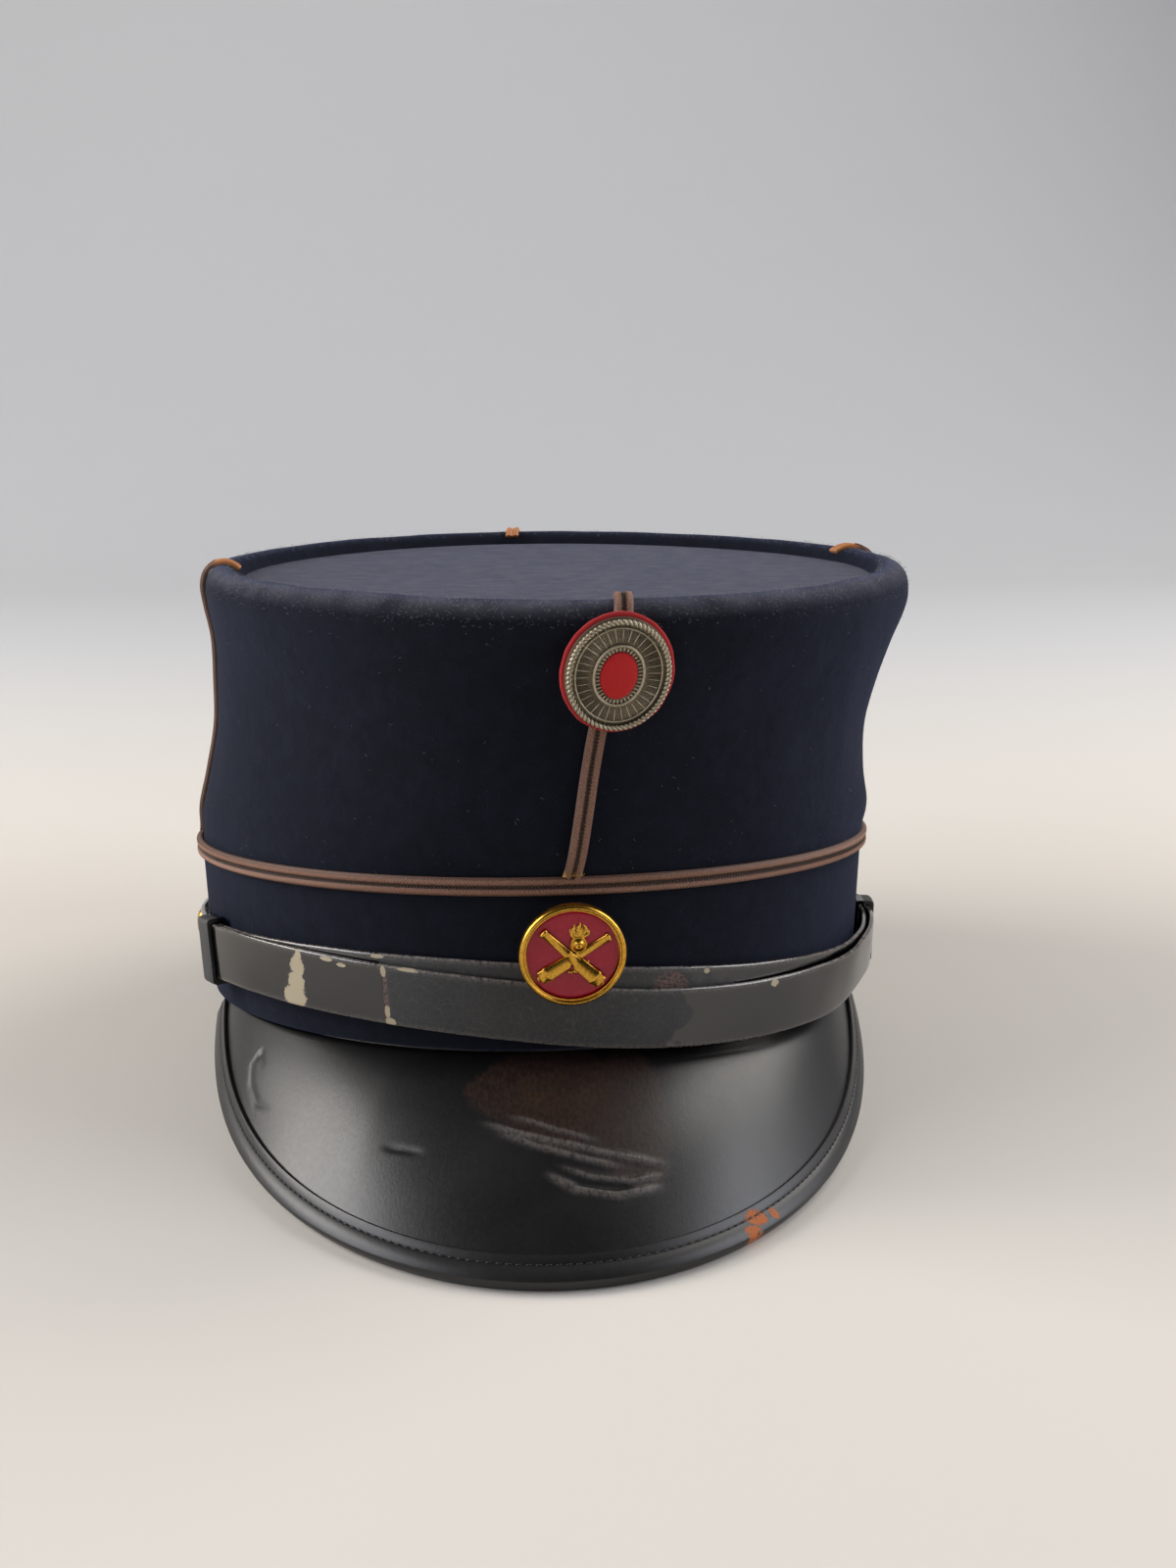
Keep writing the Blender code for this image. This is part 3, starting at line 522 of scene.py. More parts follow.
def relief(tree: bpy.types.NodeTree, height: Any, strength: float, depth: float,
           under: Optional[bpy.types.Node] = None, invert: bool = False) -> bpy.types.Node:
    """Bump from a height map.

    Args:
        tree: Node tree of the material.
        height: Height map from 0 to 1.
        strength: Share of the bump that shows.
        depth: Depth of the relief in millimetres.
        under: Bump that lies under this one.
        invert: Whether high values are pressed in.

    Returns:
        The bump node.
    """
    feeds = {"Strength": strength, "Distance": depth * MM, "Height": height}
    if under is not None:
        feeds["Normal"] = under
    return add_node(tree, "ShaderNodeBump", feeds, invert=invert)


def marked(tree: bpy.types.NodeTree, name: str) -> bpy.types.NodeSocket:
    """The piece's own mark of wear, from 0 to 1."""
    return add_node(tree, "ShaderNodeAttribute", attribute_name=name).outputs["Fac"]


@dataclass(frozen=True)
class Spot:
    """An uneven mark on a surface: its middle, half sizes in millimetres and raggedness."""
    at: tuple[float, float]
    half: tuple[float, float]
    ragged: float = 0.5
    lean: float = 0.0

    def mask(self, tree: bpy.types.NodeTree, place: Any, fray: Any) -> bpy.types.Node:
        """Number that is 1 inside the mark.

        Args:
            tree: Node tree of the material.
            place: Places in millimetres.
            fray: Noise from 0 to 1 that makes the edge uneven.

        Returns:
            Node whose output is the mask.
        """
        local = add_node(tree, "ShaderNodeMapping",
                         {0: place, 1: (*self.at, 0.0), 2: (0.0, 0.0, self.lean), 3: (*self.half, 1.0)},
                         vector_type="TEXTURE")
        flat = add_node(tree, "ShaderNodeVectorMath", {0: local, 1: (1.0, 1.0, 0.0)}, operation="MULTIPLY")
        reach = add_node(tree, "ShaderNodeVectorMath", {0: flat}, operation="LENGTH").outputs["Value"]
        uneven = combined(tree, "MULTIPLY_ADD", fray, 2 * self.ragged, -self.ragged)
        return spread(tree, combined(tree, "ADD", reach, uneven), 1.08, 0.92)


def spots_mask(tree: bpy.types.NodeTree, spots: Sequence[Spot], place: Any, fray: Any) -> Any:
    """Mask of several marks together."""
    total: Any = 0.0
    for spot in spots:
        total = combined(tree, "MAXIMUM", total, spot.mask(tree, place, fray))
    return total


@dataclass(frozen=True)
class WoolCloth(Finish):
    """Milled wool cloth: a short matt nap that swallows light and greys where it is rubbed or dusty."""
    deep: str = "#090c14"
    worn: str = "#0f131e"
    dust: float = 0.09
    nap: float = 0.35
    sheen: float = 0.3

    def fill(self, tree: bpy.types.NodeTree, shader: bpy.types.Node) -> None:
        """Cloudy colour, nap, specks of lint and the worn crest."""
        cloud = clouds(tree, millimetres(tree, 22.0), 6.0, 0.6)
        # the real nap is about 0.1 mm across; it is drawn at 0.45 mm so that it shows
        hairs = clouds(tree, millimetres(tree, 0.45, (1.0, 1.0, 2.2)), 3.0, 0.7, bent=1.2)
        shade = blended(tree, spread(tree, cloud, 0.30, 0.80), srgb(self.deep), srgb(self.worn))
        light = spread(tree, hairs, 0.45, 0.85)
        shade = blended(tree, combined(tree, "MULTIPLY", light, self.dust), shade, srgb("#6d6f7c"))
        lint = combined(tree, "MULTIPLY", specks(tree, 3.0, (0.72, 0.75), (0.085, 0.03)), 0.6)
        shade = blended(tree, lint, shade, srgb("#8d8a88"))
        crest = combined(tree, "MULTIPLY", marked(tree, "rubbed"), spread(tree, hairs, 0.25, 0.75, 0.25, 0.9))
        shade = blended(tree, crest, shade, srgb("#5b5b64"))
        bump = relief(tree, cloud, 0.25, 1.2, relief(tree, hairs, self.nap, 0.25))
        feed(shader, {"Base Color": shade, "Normal": bump, "Roughness": 0.95, "Specular IOR Level": 0.15,
                      "Sheen Weight": self.sheen, "Sheen Roughness": 0.4, "Sheen Tint": srgb("#6070a8")})


@dataclass(frozen=True)
class Felt(Finish):
    """Pressed wool felt: bright, matt, slightly mottled and fuzzy."""
    colour: str = "#b51a1e"
    dark: str = "#7d0f14"

    def fill(self, tree: bpy.types.NodeTree, shader: bpy.types.Node) -> None:
        """Mottled colour and a fuzzy bump."""
        fuzz = clouds(tree, millimetres(tree, 0.35), 4.0, 0.7)
        shade = blended(tree, spread(tree, fuzz, 0.3, 0.7), srgb(self.dark), srgb(self.colour))
        feed(shader, {"Base Color": shade, "Normal": relief(tree, fuzz, 0.5, 0.15), "Roughness": 0.92,
                      "Sheen Weight": 0.25, "Sheen Tint": srgb("#ff8a80")})


@dataclass(frozen=True)
class SilkBraid(Finish):
    """Flat woven braid: each lobe is slanting threads with a soft silky sheen, worn to tan on the rim."""
    colour: str = "#7c5f50"
    dark: str = "#3b2a24"
    worn: str = "#b0703c"
    frayed: str = "#c79a4a"

    def fill(self, tree: bpy.types.NodeTree, shader: bpy.types.Node) -> None:
        """Threads from object noise and marks of wear from the piece's own attributes."""
        tone = clouds(tree, millimetres(tree, 1.1), 5.0, 0.7)
        shade = blended(tree, spread(tree, tone, 0.3, 0.75), srgb(self.dark), srgb(self.colour))
        for mark, colour in (("worn", self.worn), ("frayed", self.frayed)):
            shade = blended(tree, marked(tree, mark), shade, srgb(colour))
        feed(shader, {"Base Color": shade, "Normal": relief(tree, tone, 0.4, 0.1), "Roughness": 0.58,
                      "Sheen Weight": 0.15, "Sheen Tint": srgb("#c89a80")})


@dataclass(frozen=True)
class GiltThread(Finish):
    """Silvered or gilt wire wound on thread, dulled with age: grey-gold with bright and dark strands."""
    bright: str = "#b5a78c"
    dull: str = "#4a4034"
    metallic: float = 0.75
    rough: float = 0.42

    def fill(self, tree: bpy.types.NodeTree, shader: bpy.types.Node) -> None:
        """Tarnish from noise a few strands wide."""
        tarnish = clouds(tree, millimetres(tree, 0.5), 4.0, 0.65)
        shade = blended(tree, spread(tree, tarnish, 0.3, 0.7), srgb(self.dull), srgb(self.bright))
        rough = spread(tree, tarnish, 0.3, 0.7, self.rough + 0.15, self.rough - 0.08)
        feed(shader, {"Base Color": shade, "Roughness": rough, "Metallic": self.metallic})


@dataclass(frozen=True)
class GiltBrass(Finish):
    """Stamped brass with a gilt wash: warm and bright, with fine scratches and darker hollows."""
    colour: str = "#dcab45"
    dark: str = "#a8762a"

    def fill(self, tree: bpy.types.NodeTree, shader: bpy.types.Node) -> None:
        """Slight tarnish and fine wear."""
        tarnish = clouds(tree, millimetres(tree, 1.6), 6.0, 0.7)
        scratches = clouds(tree, millimetres(tree, 0.2, (6.0, 1.0, 1.0)), 2.0)
        shade = blended(tree, spread(tree, tarnish, 0.36, 0.60), srgb(self.dark), srgb(self.colour))
        feed(shader, {"Base Color": shade, "Roughness": spread(tree, scratches, 0.3, 0.7, 0.17, 0.3),
                      "Normal": relief(tree, tarnish, 0.08, 0.03), "Metallic": 1.0})


@dataclass(frozen=True)
class Enamel(Finish):
    """Fired glass enamel: deep crimson, glossy, with tiny specks and a few pits."""
    colour: str = "#a00e28"
    pale: str = "#a81c34"

    def fill(self, tree: bpy.types.NodeTree, shader: bpy.types.Node) -> None:
        """Cloudy glass with pale specks under a clear surface."""
        cloud = clouds(tree, millimetres(tree, 5.0), 3.0)
        shade = blended(tree, spread(tree, cloud, 0.35, 0.75), srgb(self.colour), srgb(self.pale))
        shade = blended(tree, specks(tree, 0.9, (0.86, 0.88), (0.16, 0.08)), shade, srgb("#d78a92"))
        feed(shader, {"Base Color": shade, "Roughness": 0.12, "Specular IOR Level": 0.35})


@dataclass(frozen=True)
class PatentLeather(Finish):
    """Leather under a baked linseed lacquer: mirror black where whole, crazed and chipped to the hide."""
    cream: tuple[Spot, ...] = ()
    brown: tuple[Spot, ...] = ()
    crazed: tuple[Spot, ...] = ()
    lacquer: str = "#030304"

    def fill(self, tree: bpy.types.NodeTree, shader: bpy.types.Node) -> None:
        """Lacquer with crazing, worn edges and marks placed on the piece's UV map in millimetres."""
        place = add_node(tree, "ShaderNodeUVMap", uv_map="surface")
        fine = clouds(tree, place, 5.0, 0.65, scale=1.3)
        broad = clouds(tree, place, 3.0, scale=0.11)
        wander = add_node(tree, "ShaderNodeVectorMath", {0: fine.outputs["Color"], 3: 0.9}, operation="SCALE")
        bent = add_node(tree, "ShaderNodeVectorMath", {0: place, 1: wander}, operation="ADD")
        # crazing runs in cells 1 to 2 mm wide
        wide = spread(tree, cells(tree, bent, 0.55, "DISTANCE_TO_EDGE"), 0.035, 0.0)
        narrow = spread(tree, cells(tree, bent, 1.0, "DISTANCE_TO_EDGE"), 0.04, 0.0)
        small = combined(tree, "MULTIPLY", narrow, spread(tree, fine, 0.45, 0.65, 0.0, 0.6))
        zone = spots_mask(tree, self.crazed, place, broad)
        craze = combined(tree, "MULTIPLY", combined(tree, "MAXIMUM", wide, small),
                         combined(tree, "MAXIMUM", zone, 0.03))
        cream = spots_mask(tree, self.cream, place, fine)
        brown = combined(tree, "MULTIPLY", spots_mask(tree, self.brown, place, fine),
                         spread(tree, fine, 0.42, 0.55))
        edge = combined(tree, "MULTIPLY", marked(tree, "edge"), spread(tree, fine, 0.35, 0.6))
        shade: Any = srgb(self.lacquer)
        for share, colour in ((craze, "#2b2928"), (edge, "#6a625c"), (brown, "#5c3a2c"), (cream, "#a3957a")):
            shade = blended(tree, share, shade, srgb(colour))
        dull = combined(tree, "MAXIMUM", cream, brown)
        matt = combined(tree, "MAXIMUM", combined(tree, "MULTIPLY", zone, 0.5),
                        combined(tree, "MULTIPLY", dull, 0.5))
        rough = combined(tree, "ADD", spread(tree, broad, 0.3, 0.7, 0.10, 0.17), matt)
        cracks = relief(tree, craze, 0.4, 0.08, relief(tree, broad, 0.2, 0.3), True)
        feed(shader, {"Base Color": shade, "Roughness": rough,
                      "Normal": relief(tree, dull, 0.7, 0.15, cracks, True), "Specular IOR Level": 0.9})


@dataclass(frozen=True)
class PolishedLeather(Finish):
    """Blackened, waxed leather: half gloss, fine grain, with rubbed and browned places, and crease crests
    greyed partly by wear and partly as painted highlight.
    """
    colour: str = "#0b0a0a"
    rubbed: str = "#191717"
    tan: tuple[Spot, ...] = ()
    tinted: tuple[Spot, ...] = ()
    rough: float = 0.33

    def fill(self, tree: bpy.types.NodeTree, shader: bpy.types.Node) -> None:
        """Grain and marks placed on the model's own X and Y in millimetres, and crease crests greyed from the
        piece's rubbed mark, partly as wear and partly as painted highlight.
        """
        place = millimetres(tree, 1.0)
        fine = clouds(tree, place, 6.0, 0.7, scale=0.9)
        broad = clouds(tree, place, 4.0, scale=0.045)
        # hide grain is about 0.5 mm from pore to pore
        pores = cells(tree, place, 1.7).outputs["Distance"]
        streaks = clouds(tree, millimetres(tree, 3.0, (1.0, 5.0, 1.0)), 4.0, 0.6)
        tan = combined(tree, "MULTIPLY", spots_mask(tree, self.tan, place, fine),
                       spread(tree, fine, 0.4, 0.5))
        tint = combined(tree, "MULTIPLY", spots_mask(tree, self.tinted, place, broad),
                        spread(tree, streaks, 0.35, 0.65, 0.2, 0.8))
        # pale grey on the raised creases from the piece's rubbed mark: partly rubbed wear, partly painted
        # highlight
        crease_rub_and_highlight = combined(tree, "MULTIPLY", marked(tree, "rubbed"), spread(tree, streaks, 0.3, 0.6, 0.25, 0.9))
        shade = blended(tree, spread(tree, broad, 0.35, 0.75), srgb(self.colour), srgb(self.rubbed))
        for share, colour in ((tint, "#33231b"), (crease_rub_and_highlight, "#5c5753"), (tan, "#b0602a")):
            shade = blended(tree, share, shade, srgb(colour))
        rough = combined(tree, "ADD", spread(tree, fine, 0.3, 0.7, self.rough - 0.02, self.rough + 0.03),
                         combined(tree, "MULTIPLY", tan, 0.4))
        bump = relief(tree, streaks, 0.1, 0.2, relief(tree, pores, 0.07, 0.06))
        feed(shader, {"Base Color": shade, "Roughness": rough, "Normal": bump})


@dataclass(frozen=True)
class Thread(Finish):
    """Waxed sewing thread or loose fibre: one colour, softly mottled, matt."""
    colour: str = "#1b1a1b"
    rough: float = 0.7

    def fill(self, tree: bpy.types.NodeTree, shader: bpy.types.Node) -> None:
        """Mottled along its length."""
        dark = tuple(0.6 * part for part in srgb(self.colour)[:3]) + (1.0,)
        shade = blended(tree, clouds(tree, millimetres(tree, 0.6), 2.0), dark, srgb(self.colour))
        feed(shader, {"Base Color": shade, "Roughness": self.rough})


@dataclass(frozen=True)
class Paper(Finish):
    """Matt paper sweep of the studio, one sheet with painted shade: warm and pale on the table, cooler and
    darker up the wall.
    """
    # the wall colour is the same paper with painted shade, darker and cooler than the table
    table: str = "#d8d2c9"
    wall: str = "#cbccce"

    def fill(self, tree: bpy.types.NodeTree, shader: bpy.types.Node) -> None:
        """Colour that changes with depth behind the cap: painted shade that darkens and cools the sheet up
        the wall.
        """
        place = add_node(tree, "ShaderNodeSeparateXYZ", {0: millimetres(tree, 1000.0)})
        # painted shade: blends from the table colour to the darker, cooler wall colour with depth
        shade = blended(tree, spread(tree, place.outputs["Y"], 0.1, 0.75), srgb(self.table), srgb(self.wall))
        feed(shader, {"Base Color": shade, "Roughness": 0.9, "Specular IOR Level": 0.1})


# Things that repeat

def scatter_tree(name: str, numbers: Sequence[str], counts: Sequence[str]) -> bpy.types.NodeTree:
    """New node tree from a mesh, its values and a finish to a mesh.

    Args:
        name: Name of the tree.
        numbers: Names of its numbers.
        counts: Names of its whole numbers.

    Returns:
        The tree, with its inputs and its output but no nodes.
    """
    tree = bpy.data.node_groups.new(name, "GeometryNodeTree")
    kinds = {"Geometry": "Geometry", **dict.fromkeys(numbers, "Float"), **dict.fromkeys(counts, "Int"),
             "Finish": "Material"}
    for label, kind in kinds.items():
        tree.interface.new_socket(label, in_out="INPUT", socket_type="NodeSocket" + kind)
    tree.interface.new_socket("Geometry", in_out="OUTPUT", socket_type="NodeSocketGeometry")
    return tree


def end_tree(tree: bpy.types.NodeTree, copies: bpy.types.Node, finish: bpy.types.NodeSocket) -> None:
    """Turn copies into one smooth mesh with a finish, and hand it out."""
    whole = add_node(tree, "GeometryNodeRealizeInstances", {0: copies})
    dressed = add_node(tree, "GeometryNodeSetMaterial", {0: whole, "Material": finish})
    smooth = add_node(tree, "GeometryNodeSetShadeSmooth", {0: dressed})
    add_node(tree, "NodeGroupOutput", {0: smooth})


@dataclass
class StitchRow:
    """Short strands laid along a path by a node tree, such as braid threads, stitches and wound wire.

    Attributes:
        spacing: Distance between strands along the path, in millimetres.
        length: Length of a strand.
        width: Thickness of a strand across the path's surface.
        height: Thickness of a strand off the surface.
        slant: Angle between a strand and the path, in degrees.
        aside: Distance of the strands' middles from the path, across the surface.
        jitter: Random share by which strands differ in length.
        sides: Facets round a strand.
    """
    spacing: float
    length: float
    width: float
    height: float
    slant: float
    aside: float = 0.0
    jitter: float = 0.0
    sides: int = 6

    SIZES = ("Spacing", "Length", "Width", "Height", "Slant", "Aside", "Jitter")

    @classmethod
    def tree(cls) -> bpy.types.NodeTree:
        """Node tree that all rows share, made on first use."""
        found = bpy.data.node_groups.get("strands_along_path")
        if found is not None:
            return found
        tree = scatter_tree("strands_along_path", cls.SIZES, ("Sides", "Seed"))
        given = add_node(tree, "NodeGroupInput").outputs
        curve = add_node(tree, "GeometryNodeMeshToCurve", {0: given["Geometry"]})
        places = add_node(tree, "GeometryNodeResampleCurve", {"Curve": curve, "Length": given["Spacing"]},
                          mode="LENGTH")
        facing = add_node(tree, "GeometryNodeInputNamedAttribute", {"Name": "facing"},
                          data_type="FLOAT_VECTOR")
        tangent = add_node(tree, "GeometryNodeInputTangent")
        turn = add_node(tree, "FunctionNodeAxesToRotation", {0: facing, 1: tangent}, primary_axis="Z",
                        secondary_axis="X")
        slanted = add_node(tree, "FunctionNodeAxisAngleToRotation",
                           {"Axis": (0.0, 0.0, 1.0), "Angle": given["Slant"]})
        aim = add_node(tree, "FunctionNodeRotateRotation", {0: turn, 1: slanted}, rotation_space="LOCAL")
        across = add_node(tree, "ShaderNodeVectorMath", {0: facing, 1: tangent}, operation="CROSS_PRODUCT")
        push = add_node(tree, "ShaderNodeVectorMath", {0: across, 3: given["Aside"]}, operation="SCALE")
        moved = add_node(tree, "GeometryNodeSetPosition", {"Geometry": places, "Offset": push})
        ball = add_node(tree, "GeometryNodeMeshUVSphere", {"Segments": given["Sides"], "Rings": 6,
                                                           "Radius": 0.5})
        chance = add_node(tree, "FunctionNodeRandomValue", {2: -1.0, 3: 1.0, 8: given["Seed"]},
                          data_type="FLOAT").outputs[1]
        stretch = add_node(tree, "ShaderNodeMath", {0: chance, 1: given["Jitter"], 2: 1.0},
                           operation="MULTIPLY_ADD")
        long = add_node(tree, "ShaderNodeMath", {0: given["Length"], 1: stretch}, operation="MULTIPLY")
        size = add_node(tree, "ShaderNodeCombineXYZ", {0: long, 1: given["Width"], 2: given["Height"]})
        strands = add_node(tree, "GeometryNodeInstanceOnPoints",
                           {"Points": moved, "Instance": ball, "Rotation": aim, "Scale": size})
        end_tree(tree, strands, given["Finish"])
        return tree

    def build(self, name: str, path: Points, facing: Points, finish: Finish, origin: Points,
              closed: bool = False, seed: int = 1) -> bpy.types.Object:
        """Lay the strands along a path.

        Args:
            name: Name of the piece.
            path: Points of the path, in millimetres.
            facing: Outward direction at each point.
            finish: Material of the strands.
            origin: Place of the cap's frame in the model's frame.
            closed: Whether the path comes back to its start.
            seed: Seed of the random lengths.

        Returns:
            The plain mesh object.
        """
        count = len(path)
        edges = [(index, index + 1) for index in range(count - 1)] + ([(count - 1, 0)] if closed else [])
        line = bpy.data.meshes.new(name + "_path")
        line.from_pydata(((path + origin) * MM).tolist(), edges, [])
        layer = line.attributes.new("facing", "FLOAT_VECTOR", "POINT")
        layer.data.foreach_set("vector", facing.astype(np.float32).ravel())
        carrier = bpy.data.objects.new(name + "_path", line)
        values = {"Spacing": self.spacing * MM, "Length": self.length * MM, "Width": self.width * MM,
                  "Height": self.height * MM, "Slant": radians(self.slant), "Aside": self.aside * MM,
                  "Jitter": self.jitter, "Sides": self.sides, "Seed": seed, "Finish": finish.build()}
        return made_plain(name, carrier, self.tree(), values)


def made_plain(name: str, carrier: bpy.types.Object, tree: bpy.types.NodeTree,
               values: dict[str, Any]) -> bpy.types.Object:
    """Run a node tree on an object and keep the result as a plain mesh.

    Args:
        name: Name of the piece.
        carrier: Object whose mesh feeds the tree; it is removed.
        tree: Node tree to run.
        values: Value of each input, by its name.

    Returns:
        The plain mesh object, linked to the scene.
    """
    bpy.context.scene.collection.objects.link(carrier)
    modifier = carrier.modifiers.new("nodes", "NODES")
    modifier.node_group = tree
    for item in tree.interface.items_tree:
        if item.item_type == "SOCKET" and item.in_out == "INPUT" and item.name in values:
            modifier[item.identifier] = values[item.name]
    graph = bpy.context.evaluated_depsgraph_get()
    mesh = bpy.data.meshes.new_from_object(carrier.evaluated_get(graph))
    carrier.modifiers.clear()
    bpy.data.objects.remove(carrier)
    mesh.name = name
    for layer in [layer for layer in mesh.attributes if layer.name == "facing"]:
        mesh.attributes.remove(layer)
    return linked(name, mesh)


@dataclass
class LooseFibres:
    """Curly fibres and lint that stand on a surface, scattered by a node tree.

    Attributes:
        length: Length of a fibre in millimetres.
        thickness: Thickness of a fibre; the real one is about 0.03 mm and is drawn thicker to show.
    """
    length: float
    thickness: float

    @classmethod
    def tree(cls) -> bpy.types.NodeTree:
        """Node tree that all tufts share, made on first use."""
        found = bpy.data.node_groups.get("loose_fibres")
        if found is not None:
            return found
        tree = scatter_tree("loose_fibres", ("Length", "Thickness"), ("Seed",))
        given = add_node(tree, "NodeGroupInput").outputs
        arc = add_node(tree, "GeometryNodeCurveArc", {"Resolution": 5, "Radius": 0.42,
                                                      "Sweep Angle": radians(150.0)}, mode="RADIUS")
        profile = add_node(tree, "GeometryNodeCurvePrimitiveCircle", {"Resolution": 3, "Radius": 0.5},
                           mode="RADIUS")
        ratio = add_node(tree, "ShaderNodeMath", {0: given["Thickness"], 1: given["Length"]},
                         operation="DIVIDE")
        slim = add_node(tree, "ShaderNodeCombineXYZ", {0: ratio, 1: ratio, 2: 1.0})
        thin = add_node(tree, "GeometryNodeTransform", {0: profile, "Scale": slim})
        hair = add_node(tree, "GeometryNodeCurveToMesh", {0: arc, "Profile Curve": thin, "Fill Caps": True})
        spin = add_node(tree, "FunctionNodeRandomValue",
                        {0: (-0.9, -0.9, -pi), 1: (0.9, 0.9, pi), 8: given["Seed"]},
                        data_type="FLOAT_VECTOR").outputs[0]
        size = add_node(tree, "FunctionNodeRandomValue", {2: 0.4, 3: 1.0, 8: given["Seed"]},
                        data_type="FLOAT").outputs[1]
        scale = add_node(tree, "ShaderNodeMath", {0: size, 1: given["Length"]}, operation="MULTIPLY")
        fibres = add_node(tree, "GeometryNodeInstanceOnPoints",
                          {"Points": given["Geometry"], "Instance": hair, "Rotation": spin, "Scale": scale})
        end_tree(tree, fibres, given["Finish"])
        return tree

    def build(self, name: str, places: Points, finish: Finish, origin: Points,
              seed: int) -> bpy.types.Object:
        """Stand a fibre at each place.

        Args:
            name: Name of the piece.
            places: Points on the surface, in millimetres.
            finish: Material of the fibres.
            origin: Place of the cap's frame in the model's frame.
            seed: Seed of the random turns and sizes.

        Returns:
            The plain mesh object.
        """
        dots = bpy.data.meshes.new(name + "_places")
        dots.from_pydata(((places + origin) * MM).tolist(), [], [])
        carrier = bpy.data.objects.new(name + "_places", dots)
        values = {"Length": self.length * MM, "Thickness": self.thickness * MM, "Seed": seed,
                  "Finish": finish.build()}
        return made_plain(name, carrier, self.tree(), values)


# Sub-assemblies

@dataclass
class Assembly:
    """A sub-assembly of the cap that builds its pieces and hangs them on the body.

    Attributes:
        shape: Outer face of the cap, which carries it.
    """
    shape: CapShape

    @property
    def origin(self) -> Points:
        """Place of the cap's frame in the model's frame."""
        return np.array(self.shape.origin)

    def keep(self, piece: bpy.types.Object, slot: str, *nodes: str) -> bpy.types.Object:
        """Make a piece ride with the cap.

        Args:
            piece: Finished piece.
            slot: Material slot; not used.
            nodes: Solids of the model that it stands for.

        Returns:
            The piece.
        """
        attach(piece, "root")
        if nodes:
            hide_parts(*nodes)
        LOG.info("%s: %d faces", piece.name, len(piece.data.polygons))
        return piece

    def add(self, loft: Loft, finish: Finish, slot: str, *nodes: str) -> bpy.types.Object:
        """Build a piece, give it its finish and make it ride with the cap."""
        piece = loft.build(self.origin)
        finish.dress(piece)
        return self.keep(piece, slot, *nodes)

    def lay(self, row: StitchRow, name: str, slot: str, finish: Finish, path: Points, facing: Points,
            closed: bool = True, seed: int = 2) -> None:
        """Lay a row of strands as a piece that rides with the cap.

        Args:
            row: Kind of strands.
            name: Name of the piece.
            slot: Material slot.
            finish: Material of the strands.
            path: Points of the path, in millimetres.
            facing: Outward direction at each point, or one for all.
            closed: Whether the path comes back to its start.
            seed: Seed of the random lengths.
        """
        facing = np.broadcast_to(facing, path.shape)
        self.keep(row.build(name, path, facing, finish, self.origin, closed, seed), slot)


